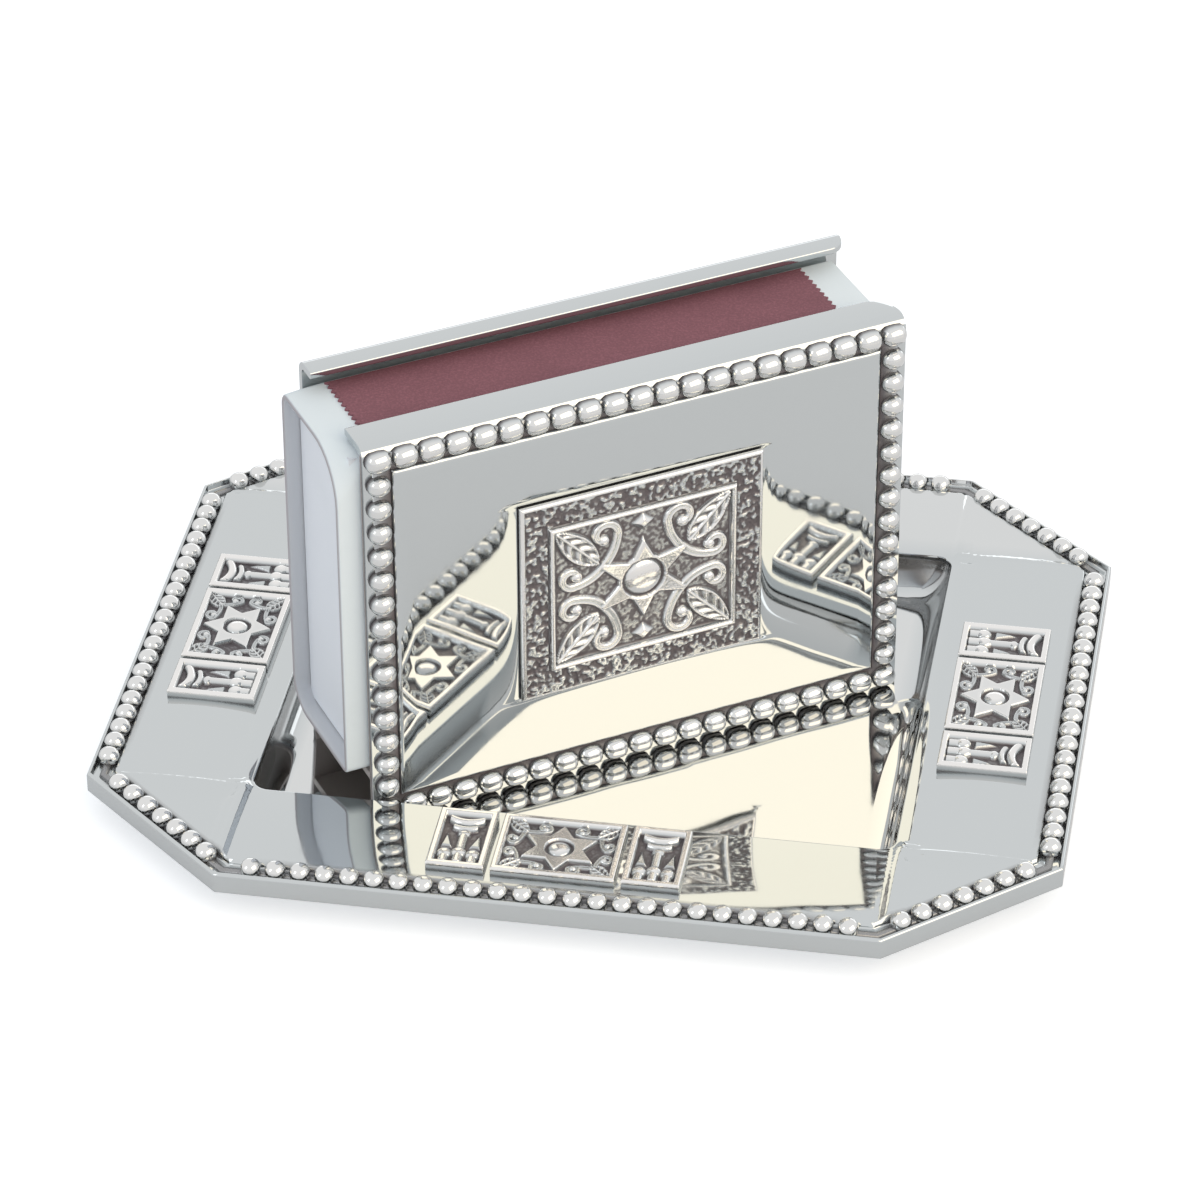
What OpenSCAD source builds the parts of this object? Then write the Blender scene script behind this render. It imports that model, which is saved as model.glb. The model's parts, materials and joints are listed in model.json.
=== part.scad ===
// Silver matchbox holder standing in the sunken well of its octagonal tray.
// Millimetres, +Z up. The origin is the middle of the tray's flat underside.
// +X is the tray's right end, -Y is the side that the photograph looks at.

/* [Part] */
// Which piece to draw

/* [Tray] */
// How far the well is sunk below the fold at its edge
well_depth = 3.5; // [2.5:0.1:6]
// Radius of the well's upright corners
well_corner = 1.5; // [1.3:0.1:4]
// Radius of the cove round the well's floor
well_cove = 0.8; // [0.3:0.05:1.2]
// Room in the well between its front cove and the nearest corner of the holder
room_front = 0.25; // [0.1:0.05:10]
// Room in the well behind the holder
room_back = 3.3; // [0.2:0.1:12]
// Room in the well to the left of the holder
room_left = 2; // [0.2:0.1:12]
// Room in the well to the right of the holder
room_right = 2.75; // [0.2:0.05:12]
// Rim from the well to the bead line, at the two ends
rim_end = 13.75; // [13:0.25:25]
// Rim from the well to the bead line, at the two long sides
rim_side = 12.05; // [12:0.05:25]
// Thickness of the tray's sheet
tray_sheet = 0.9; // [0.6:0.1:1.6]
// Crown of each rim panel above its chord
panel_crown = 0.26; // [0.1:0.02:0.6]
// Rise of a rim panel from the fold to the beads
panel_rise = 0.18; // [0.05:0.01:0.5]
// Half width of the rounded rails that run front to back
rail_half = 0.6; // [0.3:0.05:1]
// Height of those rails above the folds
rail_height = 0.28; // [0.1:0.02:0.5]
// Flat lip outside the bead line
lip_out = 1.4; // [1.2:0.1:4]
// Height of the lip above the fold at the well
lip_rise = 0.25; // [0:0.05:1]
// Height of the turned-down edge
edge_drop = 2.1; // [1.3:0.05:4]

/* [Tray beads] */
// Pitch of the tray's beads
tray_pitch = 2.22; // [2.1:0.01:4]
// Radius of a tray bead
tray_bead = 0.9; // [0.5:0.02:1]
// Plain stretch from an octagon corner to the first bead
corner_gap = 2.2; // [1.8:0.1:4]
// Width of the bead channel
channel_width = 2.1; // [2:0.05:3]
// Depth of the bead channel below the fold
channel_depth = 0.4; // [0.2:0.05:0.6]

/* [Tray plaques] */
// Length of a star plaque along the rim
star_length = 11.1; // [10:0.1:14]
// Width of a star plaque across the rim
plaque_width = 8.2; // [7:0.1:9]
// Length of a pillar plaque along the rim
pillar_length = 5.2; // [4.6:0.1:7]
// Gap between neighbouring plaques
plaque_gap = 0.6; // [0.4:0.05:1.5]
// Height of a plaque above its seat
plaque_height = 1.05; // [0.8:0.05:1.5]
// Thickness of the plaque's dark ground
plaque_ground = 0.45; // [0.3:0.05:0.6]
// Width of the plaque's raised frame
plaque_frame = 0.5; // [0.3:0.05:0.8]

/* [Holder] */
// Turn of the holder on its tray, in degrees
holder_turn = 33.7; // [30:0.1:36]
// Thickness of the holder's sheet
holder_sheet = 0.7; // [0.5:0.05:1]
// Inner radius of the bends
bend_inner = 0.5; // [0.3:0.05:1]
// How far the front lip reaches in over the matchbox
front_lip = 4.1; // [3:0.1:5]
// How far the back lip reaches in over the matchbox
back_lip = 2.9; // [2:0.1:5]
// Height of the back lip above the front one
back_rise = 1.1; // [0:0.1:3]
// Radius of the lips' right-hand corners
lip_round = 2.6; // [1:0.1:3.5]

/* [Holder face] */
// Pitch of the beads round the face
face_pitch = 2.5; // [2.3:0.05:3]
// Beads along the top and bottom, corners included
beads_wide = 21; // [21:1:25]
// Beads up each side, corners included
beads_high = 16; // [16:1:20]
// From the outer edge to the bead line
bead_edge = 1.35; // [1.2:0.05:2]
// Radius of a bead on the face
face_bead = 1.1; // [0.7:0.02:1.16]
// From the outer edge to the raised mirror field
field_inset = 2.55; // [2.4:0.05:3.5]
// Height of the mirror field
field_rise = 0.45; // [0.3:0.05:0.8]
// Length of the face's plaque
face_plaque_length = 23.9; // [22:0.1:27]
// Height of the face's plaque
face_plaque_height = 20.8; // [19:0.1:24]
// Width of the flare that rises to the plaque
flare_width = 0.7; // [0.4:0.1:3]
// Height of the flare
flare_rise = 0.4; // [0.35:0.05:1.2]
// Width of the plaque's pebbled border
pebble_band = 2.6; // [1.5:0.1:3.5]
// Width of the plaque's inner frame
inner_frame = 0.75; // [0.4:0.05:1.2]

/* [Matchbox] */
// Length of the matchbox sleeve
box_length = 54; // [52:0.5:58]
// Thickness of the matchbox
box_thick = 12.9; // [12:0.1:14]
// Height of the matchbox as it stands on its edge, strikers included
box_height = 34.2; // [33:0.1:36]
// How far the sleeve stands out of the holder's left end
box_out = 2.15; // [0:0.05:6]
// Card of the sleeve
sleeve_card = 0.5; // [0.4:0.05:0.8]
// Rounding of the sleeve's folds
sleeve_round = 0.8; // [0.3:0.1:1.2]
// Thickness of a striker
striker_thick = 0.2; // [0.1:0.05:0.3]
// Length of a striker
striker_length = 46.9; // [40:0.1:50]
// Width of a striker
striker_width = 11.1; // [9:0.1:11.4]
// From the sleeve's left end to the striker
striker_margin = 3.8; // [1:0.1:5]
// Teeth along each end of a striker
striker_teeth = 14; // [8:1:20]
// Card of the drawer
drawer_card = 0.6; // [0.4:0.05:0.9]
// How far the drawer stands back inside the sleeve's left end
drawer_back = 1.5; // [0.5:0.1:5]
// How far the drawer stands back at the right end
drawer_short = 0.4; // [0.2:0.1:3]

/* [Matches] */
// Room between the matches' bare ends and the drawer
match_room = 1; // [0.2:0.1:2]
// Room between the match heads and the drawer
head_room = 4.2; // [1:0.1:8]
// Side of a matchstick
match_side = 1.75; // [1.4:0.05:1.9]
// Radius of a match head
head_radius = 1.02; // [0.8:0.02:1.05]
// Length of the part that is dipped
head_length = 3.4; // [2:0.1:6]
// Pitch of the matches
match_pitch = 2.3; // [2.2:0.05:3]
// Layers of matches in the drawer
match_layers = 4; // [1:1:4]

/* [Fits] */
// Play between the matchbox and each side of the holder
box_play = 0.25; // [0.15:0.05:0.6]
// Play between the matchbox and the front lip
lip_play = 0.2; // [0.1:0.05:0.5]
// Play round the drawer
drawer_play = 0.15; // [0.1:0.05:0.4]
// Play between the layers of matches, and between them and the drawer
match_play = 0.1; // [0.05:0.01:0.2]
// Play round an applied plaque in its seat
seat_play = 0.05; // [0:0.01:0.15]

/* [Hidden] */
$fn = 48;
bead_fn = 20;
small_fn = 24;

// Holder, in its own frame: X along the face, Y from front to back, Z up from its foot
face_w = (beads_wide - 1) * face_pitch + 2 * bead_edge;
face_h = (beads_high - 1) * face_pitch + 2 * bead_edge;
holder_d = box_thick + 2 * box_play + 2 * holder_sheet;
back_h = face_h + back_rise;
shelf_height = face_h - holder_sheet - lip_play - box_height;
field_w = face_w - 2 * field_inset;
field_h = face_h - 2 * field_inset;
plaque_z = face_h / 2;
flare_radius = (flare_width * flare_width + flare_rise * flare_rise) / (2 * flare_rise);
plaque_recess = 0.3;
// How far the parts of one sheet run into each other
weld = 0.2;

// The well is made to take the holder as it stands, turned on the tray
span_x = face_w * cos(holder_turn) + holder_d * sin(holder_turn);
span_y = face_w * sin(holder_turn) + holder_d * cos(holder_turn);
well_length = span_x + room_left + room_right + 2 * well_cove;
well_width = span_y + room_front + room_back + 2 * well_cove;
well_x = well_length / 2;
well_y = well_width / 2;

// Middle of the holder's front face on the tray
holder_x = well_cove + room_left - well_x
    + face_w / 2 * cos(holder_turn) + holder_d * sin(holder_turn);
holder_y = well_cove + room_front - well_y + face_w / 2 * sin(holder_turn);

// Tray levels
floor_z = tray_sheet;
fold_z = tray_sheet + well_depth;
lip_z = fold_z + lip_rise;
channel_z = fold_z - channel_depth;
seat_z = fold_z + 0.1;
bead_x = well_x + rim_end;
bead_y = well_y + rim_side;

// Matchbox, in the holder's frame
box_left = -face_w / 2 - box_out;
box_right = box_left + box_length;
box_mid = (box_left + box_right) / 2;
box_front = holder_sheet + box_play;
box_bottom = shelf_height;
box_mid_y = box_front + box_thick / 2;
sleeve_bottom = box_bottom + striker_thick;
sleeve_h = box_height - 2 * striker_thick;
drawer_left = box_left + drawer_back;
drawer_len = box_length - drawer_back - drawer_short;
drawer_d = box_thick - 2 * sleeve_card - 2 * drawer_play;
drawer_h = sleeve_h - 2 * sleeve_card - 2 * drawer_play;
drawer_front = box_front + sleeve_card + drawer_play;
drawer_bottom = sleeve_bottom + sleeve_card + drawer_play;
match_length = drawer_len - 2 * drawer_card - match_room - head_room;
match_rows = floor((drawer_h - 2 * drawer_card - 4 * match_play) / match_pitch);

// Shared forms

// Octagon whose corners lie on the lines of the well's edges, grown by d
module octagon(d) {
    a = atan2(rim_side, rim_end);
    cut_x = d * tan((90 - a) / 2);
    cut_y = d * tan(a / 2);
    x1 = bead_x + d;
    y1 = bead_y + d;
    x0 = well_x + cut_y;
    y0 = well_y + cut_x;
    polygon([
        [x0, y1], [-x0, y1], [-x1, y0], [-x1, -y0],
        [-x0, -y1], [x0, -y1], [x1, -y0], [x1, y0]
    ]);
}

// Pocket with upright rounded corners and a coved floor, open upwards
module pocket(l, w, r, cove, h) {
    translate([0, 0, cove]) linear_extrude(h - cove) round_rect(l, w, r);
    linear_extrude(2 * cove) round_rect(l - 2 * cove, w - 2 * cove, r - cove);
    for (s = [-1, 1]) {
        translate([0, s * (w / 2 - cove), cove]) rotate([0, 90, 0])
            cylinder(h = l - 2 * r, r = cove, center = true);
        translate([s * (l / 2 - cove), 0, cove]) rotate([90, 0, 0])
            cylinder(h = w - 2 * r, r = cove, center = true);
        for (t = [-1, 1]) translate([s * (l / 2 - r), t * (w / 2 - r), 0])
            rotate_extrude() intersection() {
                translate([r - cove, cove]) circle(r = cove);
                square([r, cove]);
            }
    }
}

module round_rect(l, w, r) {
    square([l - 2 * r, w], center = true);
    square([l, w - 2 * r], center = true);
    for (s = [-1, 1], t = [-1, 1])
        translate([s * (l / 2 - r), t * (w / 2 - r)]) circle(r = r);
}

// Ball bead on a flat foot, its centre lift above the foot
module bead(r, lift) {
    rotate_extrude($fn = bead_fn) intersection() {
        translate([0, lift]) circle(r = r, $fn = 2 * bead_fn);
        square([r, lift + r]);
    }
}

// Half-round wire bent to an arc from a0 to a1
module arc_wire(radius, wire, a0, a1) {
    rotate([0, 0, a0]) rotate_extrude(angle = a1 - a0, $fn = small_fn)
        translate([radius, 0]) intersection() {
            circle(r = wire, $fn = small_fn);
            translate([-wire, 0]) square([2 * wire, wire]);
        }
}

// A C-scroll: an open arc that ends in a ball
module scroll(radius, wire) {
    arc_wire(radius, wire, -90, 150);
    translate([radius * cos(150), radius * sin(150), 0]) ball(wire * 1.35);
    translate([radius * 0.25, 0, 0]) ball(wire * 1.2);
}

module ball(r) {
    rotate_extrude($fn = small_fn) intersection() {
        circle(r = r, $fn = small_fn);
        square([r, r]);
    }
}

// Pointed leaf lying along +X from the origin, with a raised midrib
module leaf(length, width, h) {
    r = (length * length + width * width) / (4 * width);
    linear_extrude(h) intersection() {
        translate([length / 2, r - width / 2]) circle(r = r, $fn = 96);
        translate([length / 2, width / 2 - r]) circle(r = r, $fn = 96);
    }
    translate([length * 0.08, -0.1, 0]) cube([length * 0.84, 0.2, h + 0.12]);
}

// Six-pointed star as two crossed triangles
module star(r, h) {
    linear_extrude(h) for (a = [0, 180])
        polygon([for (i = [0:2]) [r * sin(a + 120 * i), r * cos(a + 120 * i)]]);
}

// Tray

module tray_body() {
    color("silver") {
        difference() {
            union() {
                // rim sheet, lip and turned-down edge
                translate([0, 0, fold_z - tray_sheet]) linear_extrude(tray_sheet - weld)
                    octagon(lip_out - weld);
                difference() {
                    translate([0, 0, lip_z - edge_drop]) linear_extrude(edge_drop)
                        octagon(lip_out);
                    translate([0, 0, lip_z - edge_drop - 1])
                        linear_extrude(edge_drop + 2) octagon(channel_width / 2 - weld);
                }
                panels();
                rails();
                // sunken well seen from below
                linear_extrude(fold_z - tray_sheet / 2)
                    round_rect(well_length + 2 * tray_sheet,
                        well_width + 2 * tray_sheet, well_corner + tray_sheet);
            }
            translate([0, 0, floor_z])
                pocket(well_length, well_width, well_corner, well_cove, well_depth + 3);
            // channel for the bead border
            translate([0, 0, channel_z]) linear_extrude(3) difference() {
                octagon(channel_width / 2);
                octagon(-channel_width / 2);
            }
            for (a = [0, 180]) rotate([0, 0, a]) {
                plaque_seats(well_y, rim_side);
            }
            for (a = [90, 270]) rotate([0, 0, a]) {
                plaque_seats(well_x, rim_end);
            }
        }
    }
}

// Crowned rim panels: parts of large cylinders that lie along the well's edges
module panels() {
    for (a = [0, 180]) rotate([0, 0, a]) panel(well_length, well_y, rim_side);
    for (a = [90, 270]) rotate([0, 0, a]) panel(well_width, well_x, rim_end);
    for (s = [0, 1], t = [0, 1]) mirror([s, 0, 0]) mirror([0, t, 0])
        corner_panel();
}

module panel(l, inner, rim) {
    run = rim - channel_width / 2;
    r = (run * run / 4 + panel_crown * panel_crown) / (2 * panel_crown);
    tilt = atan2(panel_rise, run);
    intersection() {
        translate([-l / 2, -inner - run - weld, fold_z - tray_sheet / 2])
            cube([l, run + 2 * weld, 2]);
        translate([0, -inner - run / 2, fold_z + panel_rise / 2])
            rotate([-tilt, 0, 0]) translate([0, 0, panel_crown - r])
                rotate([0, 90, 0]) cylinder(h = l + 2, r = r, center = true, $fn = 256);
    }
}

// Flat triangle between two folds and a cut corner
module corner_panel() {
    translate([0, 0, fold_z - tray_sheet / 2])
        linear_extrude(tray_sheet / 2 + panel_rise / 2) intersection() {
            octagon(weld - channel_width / 2);
            translate([well_x - weld, well_y - weld / 2]) square([rim_end, rim_side]);
        }
}

// Rounded rails along the well's two end folds
module rails() {
    r = (rail_half * rail_half + rail_height * rail_height) / (2 * rail_height);
    run = 2 * (bead_y - channel_width / 2 + weld);
    for (s = [-1, 1]) intersection() {
        translate([s * (well_x + rail_half) - rail_half, -run / 2, fold_z - 0.3])
            cube([2 * rail_half, run, 1.5]);
        translate([s * (well_x + rail_half), 0, fold_z + rail_height - r])
            rotate([90, 0, 0]) cylinder(h = run, r = r, center = true, $fn = 64);
    }
}

// Flat seats that the applied plaques are soldered into
module plaque_seats(inner, rim) {
    w = plaque_width + 2 * seat_play;
    for (x = [0, plaque_pitch(), -plaque_pitch()]) {
        l = (x == 0 ? star_length : pillar_length) + 2 * seat_play;
        translate([x - l / 2, -plaque_line(inner, rim) - w / 2, seat_z])
            cube([l, w, 2]);
    }
}

function plaque_pitch() = star_length / 2 + plaque_gap + pillar_length / 2;
function plaque_line(inner, rim) = inner + (rim - channel_width / 2) / 2 + 0.15;

module tray_beading() {
    lift = tray_bead * 0.68;
    color("gainsboro") translate([0, 0, channel_z]) {
        linear_extrude(0.3) difference() {
            octagon(tray_bead * 0.75);
            octagon(-tray_bead * 0.75);
        }
        for (s = [-1, 1]) {
            bead_row([-well_x, s * bead_y], [well_x, s * bead_y], lift);
            bead_row([s * bead_x, -well_y], [s * bead_x, well_y], lift);
            for (t = [-1, 1])
                bead_row([s * well_x, t * bead_y], [s * bead_x, t * well_y], lift);
        }
    }
}

// Beads at the pitch along one side of the octagon, centred on it
module bead_row(a, b, lift) {
    run = norm(b - a);
    n = floor((run - 2 * corner_gap) / tray_pitch);
    for (i = [0:n]) {
        p = a + (b - a) * (0.5 + (i - n / 2) * tray_pitch / run);
        translate([p[0], p[1], 0]) bead(tray_bead, lift);
    }
}

// Plaque with its outer side towards -Y, its foot at z = 0
module framed_plate(l) {
    linear_extrude(plaque_ground) square([l, plaque_width], center = true);
    linear_extrude(plaque_height) difference() {
        square([l, plaque_width], center = true);
        square([l - 2 * plaque_frame, plaque_width - 2 * plaque_frame], center = true);
    }
}

module star_plaque() {
    in_x = star_length / 2 - plaque_frame;
    in_y = plaque_width / 2 - plaque_frame;
    star_r = in_y - 0.15;
    framed_plate(star_length);
    translate([0, 0, plaque_ground]) {
        difference() {
            star(star_r, 0.4);
            translate([0, 0, 0.15]) cylinder(h = 1, r = star_r * 0.33, $fn = small_fn);
        }
        boss(star_r * 0.25, 0.5);
        for (s = [0, 1], t = [0, 1]) mirror([s, 0, 0]) mirror([0, t, 0]) {
            translate([in_x - 0.75, in_y * 0.3, 0]) scroll(0.5, 0.2);
            translate([in_x * 0.42, in_y - 0.62, 0]) rotate([0, 0, 120])
                scroll(0.42, 0.18);
            translate([in_x - 0.25, in_y - 0.2, 0]) rotate([0, 0, 215])
                leaf(1.7, 0.8, 0.28);
        }
    }
}

// Goblet-shaped pillar between two small leaves
module pillar_plaque() {
    in_y = plaque_width / 2 - plaque_frame;
    framed_plate(pillar_length);
    translate([0, 0, plaque_ground]) {
        translate([-1.3, in_y - 1.3, 0]) cube([2.6, 1.05, 0.45]);
        translate([-0.95, in_y - 2.2, 0]) cube([1.9, 0.75, 0.35]);
        translate([0, in_y - 1.4, 0]) rotate([90, 0, 0]) half_bar(0.5, 3.6);
        for (x = [-1.25, 0, 1.25])
            translate([x, 0.75 - in_y, 0]) ball(0.5);
        for (s = [-1, 1])
            translate([s * 1.3, 1.2 - in_y, 0]) rotate([0, 0, 90]) leaf(1.8, 0.7, 0.25);
    }
}

module half_bar(r, l) {
    linear_extrude(l) intersection() {
        circle(r = r, $fn = small_fn);
        translate([-r, 0]) square([2 * r, r]);
    }
}

module on_rim(turn, inner, rim) {
    rotate([0, 0, turn]) translate([0, -plaque_line(inner, rim), seat_z]) children();
}

module star_at(turn, inner, rim) {
    color("lightgray") on_rim(turn, inner, rim) star_plaque();
}

module pillars_at(turn, inner, rim, flip) {
    color("darkgray") on_rim(turn, inner, rim) for (s = [-1, 1])
        translate([s * plaque_pitch(), 0, 0]) rotate([0, 0, flip]) pillar_plaque();
}

// Holder

// Places a piece drawn in the holder's frame on the tray
module in_holder() {
    translate([holder_x, holder_y, floor_z]) rotate([0, 0, holder_turn]) children();
}

// Quarter bend of the sheet round a centre, spanning +X and +Y
module quarter_bend() {
    intersection() {
        difference() {
            circle(r = bend_inner + holder_sheet);
            circle(r = bend_inner);
        }
        square(bend_inner + holder_sheet + 1);
    }
}

// Plate of height h with a lip at its top, drawn in Y-Z with its outer face at y = 0
module lipped_plate(h, lip) {
    out = bend_inner + holder_sheet;
    square([holder_sheet, h - out]);
    translate([out, h - out]) mirror([1, 0]) quarter_bend();
    translate([out, h - holder_sheet]) square([lip - out, holder_sheet]);
}

module along_face(l) {
    rotate([90, 0, 90]) linear_extrude(l, center = true) children();
}

module holder_shell() {
    color("silver") in_holder() {
        difference() {
            union() {
                along_face(face_w) {
                    lipped_plate(face_h, front_lip);
                    translate([holder_d, 0]) mirror([1, 0]) lipped_plate(back_h, back_lip);
                    translate([holder_sheet / 2, shelf_height - holder_sheet])
                        square([holder_d - holder_sheet, holder_sheet]);
                }
                face_relief();
                translate([0, holder_d, 0]) mirror([0, 1, 0]) face_relief();
            }
            lip_corner(front_lip, face_h);
            translate([0, holder_d, 0]) mirror([0, 1, 0]) lip_corner(back_lip, back_h);
            plaque_recesses();
        }
    }
}

// Rounds the right-hand corner of a lip
module lip_corner(lip, h) {
    r = min(lip_round, lip - bend_inner - holder_sheet);
    translate([face_w / 2 - r, lip - r, h - bend_inner - holder_sheet / 2])
        linear_extrude(bend_inner + holder_sheet) difference() {
            square(r + 1);
            circle(r = r);
        }
}

// Raised mirror field with the flare that rises to the plaque
module face_relief() {
    translate([-field_w / 2, -field_rise, field_inset])
        cube([field_w, field_rise + 0.01, field_h]);
    translate([0, -field_rise, plaque_z]) rotate([90, 0, 0]) flare();
}

module flare() {
    l = face_plaque_length + 0.5;
    h = face_plaque_height + 0.5;
    translate([-l / 2, -h / 2, -0.01]) cube([l, h, flare_rise + 0.01]);
    for (s = [0, 1]) {
        mirror([s, 0, 0]) translate([l / 2, 0, 0]) rotate([90, 0, 0])
            linear_extrude(h, center = true) flare_profile();
        mirror([0, s, 0]) translate([0, h / 2, 0]) rotate([90, 0, 90])
            linear_extrude(l, center = true) flare_profile();
    }
    for (s = [0, 1], t = [0, 1]) mirror([s, 0, 0]) mirror([0, t, 0])
        translate([l / 2, h / 2, 0]) rotate_extrude(angle = 90) flare_profile();
}

module flare_profile() {
    difference() {
        square([flare_width, flare_rise]);
        translate([flare_width, flare_radius]) circle(r = flare_radius, $fn = 96);
    }
}

module plaque_recesses() {
    d = plaque_recess;
    l = face_plaque_length + 2 * seat_play;
    h = face_plaque_height + 2 * seat_play;
    for (y = [-field_rise - flare_rise - 1, holder_d + field_rise + flare_rise - d])
        translate([-l / 2, y, plaque_z - h / 2]) cube([l, 1 + d, h]);
}

module bead_frame() {
    w = (beads_wide - 1) * face_pitch;
    h = (beads_high - 1) * face_pitch;
    linear_extrude(0.25) difference() {
        square([w + face_bead * 1.5, h + face_bead * 1.5], center = true);
        square([w - face_bead * 1.5, h - face_bead * 1.5], center = true);
    }
    for (i = [0:beads_wide - 1], s = [-1, 1])
        translate([i * face_pitch - w / 2, s * h / 2, 0]) bead(face_bead, 0.2);
    for (j = [1:beads_high - 2], s = [-1, 1])
        translate([s * w / 2, j * face_pitch - h / 2, 0]) bead(face_bead, 0.2);
}

// Turns a relief drawn flat so that it faces the front, or the back
module on_face(back) {
    in_holder() translate([0, back ? holder_d : 0, plaque_z])
        rotate([0, 0, back ? 180 : 0]) rotate([90, 0, 0]) children();
}

module holder_beading(back) {
    color("gainsboro") on_face(back) bead_frame();
}

module holder_plaque(back) {
    color("lightgray") on_face(back)
        translate([0, 0, field_rise + flare_rise - plaque_recess]) face_plaque();
}

module face_plaque() {
    in_l = face_plaque_length - 2 * pebble_band;
    in_h = face_plaque_height - 2 * pebble_band;
    x1 = in_l / 2 - inner_frame;
    y1 = in_h / 2 - inner_frame;
    linear_extrude(0.25) square([face_plaque_length, face_plaque_height], center = true);
    linear_extrude(0.75) difference() {
        square([in_l, in_h], center = true);
        square([2 * x1, 2 * y1], center = true);
    }
    translate([0, 0, 0.2]) {
        boss_r = y1 * 0.25;
        difference() {
            union() {
                star_points(y1 * 0.62, y1 * 0.35);
                cylinder(h = 0.45, r = boss_r * 1.3);
            }
            translate([0, 0, 0.2]) cylinder(h = 1, r = boss_r * 1.12);
        }
        cylinder(h = 0.2, r = boss_r);
        translate([0, 0, 0.2]) boss(boss_r, 0.4);
        for (s = [-1, 1]) translate([0, s * y1 * 0.83, 0]) rotate([0, 0, 45])
            translate([-0.45, -0.45, 0]) cube([0.9, 0.9, 0.35]);
        for (s = [0, 1], t = [0, 1]) mirror([s, 0, 0]) mirror([0, t, 0]) {
            // stem from the star to the meeting point of two scrolls
            stem([0, 0], [x1 * 0.48, y1 * 0.3], 0.42);
            translate([x1 * 0.54, y1 * 0.62, 0]) rotate([0, 0, 190])
                mirror([0, 1, 0]) scroll(1.35, 0.34);
            translate([x1 * 0.76, y1 * 0.38, 0]) rotate([0, 0, -20])
                mirror([1, 0, 0]) scroll(1.15, 0.32);
            translate([x1 - 0.25, y1 - 0.25, 0]) rotate([0, 0, 222])
                leaf(4.6, 1.7, 0.35);
        }
    }
}

// Upper and lower points of the star, as two triangles
module star_points(r, half) {
    linear_extrude(0.45) for (s = [-1, 1])
        polygon([[0, s * r], [half, 0], [-half, 0]]);
}

// Round boss as a shallow dome
module boss(r, h) {
    ball_r = (r * r + h * h) / (2 * h);
    rotate_extrude() intersection() {
        translate([0, h - ball_r]) circle(r = ball_r, $fn = 96);
        square([r, h]);
    }
}

// Tapered stem between two points
module stem(a, b, half) {
    d = b - a;
    n = [-d[1], d[0]] / norm(d);
    linear_extrude(0.45)
        polygon([a + n * half * 2, a - n * half * 2, b - n * half, b + n * half]);
}

// Matchbox

module matchbox_sleeve() {
    color("white") in_holder() translate([box_mid, box_mid_y, sleeve_bottom + sleeve_h / 2])
        along_face(box_length) difference() {
            round_rect(box_thick, sleeve_h, sleeve_round);
            square([box_thick - 2 * sleeve_card, sleeve_h - 2 * sleeve_card],
                center = true);
        }
}

// Striking surface with pinked ends
module striker(z) {
    tooth = striker_width / striker_teeth;
    x0 = box_left + striker_margin;
    ys = [for (i = [0:2 * striker_teeth]) i * tooth / 2 - striker_width / 2];
    color("brown") in_holder() translate([x0, box_mid_y, z]) linear_extrude(striker_thick)
        polygon(concat(
            [for (i = [0:2 * striker_teeth]) [(i % 2) * tooth * 0.5, ys[i]]],
            [for (i = [2 * striker_teeth:-1:0])
                [striker_length - (i % 2) * tooth * 0.5, ys[i]]]
        ));
}

// Open side towards the front
module drawer() {
    color("whitesmoke") in_holder()
        translate([drawer_left, drawer_front, drawer_bottom]) difference() {
            cube([drawer_len, drawer_d, drawer_h]);
            translate([drawer_card, -1, drawer_card])
                cube([drawer_len - 2 * drawer_card, drawer_d - drawer_card + 1,
                    drawer_h - 2 * drawer_card]);
        }
}

// Places one child at each match, lying along the drawer
module each_match() {
    floor_y = drawer_front + drawer_d - drawer_card;
    x0 = drawer_left + drawer_card + match_room;
    z0 = drawer_bottom + drawer_h / 2 - (match_rows - 1) * match_pitch / 2;
    for (i = [0:match_rows - 1], j = [0:match_layers - 1])
        translate([x0, floor_y - head_radius - match_play - j * (2 * head_radius + match_play),
            z0 + i * match_pitch]) children();
}

module matchsticks() {
    color("burlywood") in_holder() each_match() translate([0, -match_side / 2, -match_side / 2])
        cube([match_length - head_length, match_side, match_side]);
}

// Dipped heads: a short round barrel with a domed end
module match_heads() {
    color("firebrick") in_holder() each_match()
        translate([match_length - head_length, 0, 0]) rotate([0, 90, 0]) {
            cylinder(h = head_length - head_radius, r = head_radius, $fn = small_fn);
            translate([0, 0, head_length - head_radius]) ball(head_radius);
        }
}

tray_body();
tray_beading();
star_at(0, well_y, rim_side);  // star_plaque_front
star_at(180, well_y, rim_side);  // star_plaque_back
star_at(-90, well_x, rim_end);  // star_plaque_left
star_at(90, well_x, rim_end);  // star_plaque_right
pillars_at(0, well_y, rim_side, 0);  // pillar_plaques_front
pillars_at(180, well_y, rim_side, 0);  // pillar_plaques_back
pillars_at(-90, well_x, rim_end, 180);  // pillar_plaques_left
pillars_at(90, well_x, rim_end, 180);  // pillar_plaques_right
holder_shell();
holder_beading(false);  // holder_beading_front
holder_beading(true);  // holder_beading_back
holder_plaque(false);  // holder_plaque_front
holder_plaque(true);  // holder_plaque_back
matchbox_sleeve();
striker(box_bottom + box_height - striker_thick);  // striker_top
striker(box_bottom);  // striker_bottom
drawer();
matchsticks();
match_heads();
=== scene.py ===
"""Silver matchbox holder standing in the well of its octagonal tray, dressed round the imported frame."""
import json
from math import cos, pi, radians, sin

import bpy
import numpy as np
from bpy.props import FloatProperty, FloatVectorProperty, IntProperty, PointerProperty
from bpy.types import Operator, Panel, PropertyGroup
from mathutils import Matrix, Vector

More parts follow.
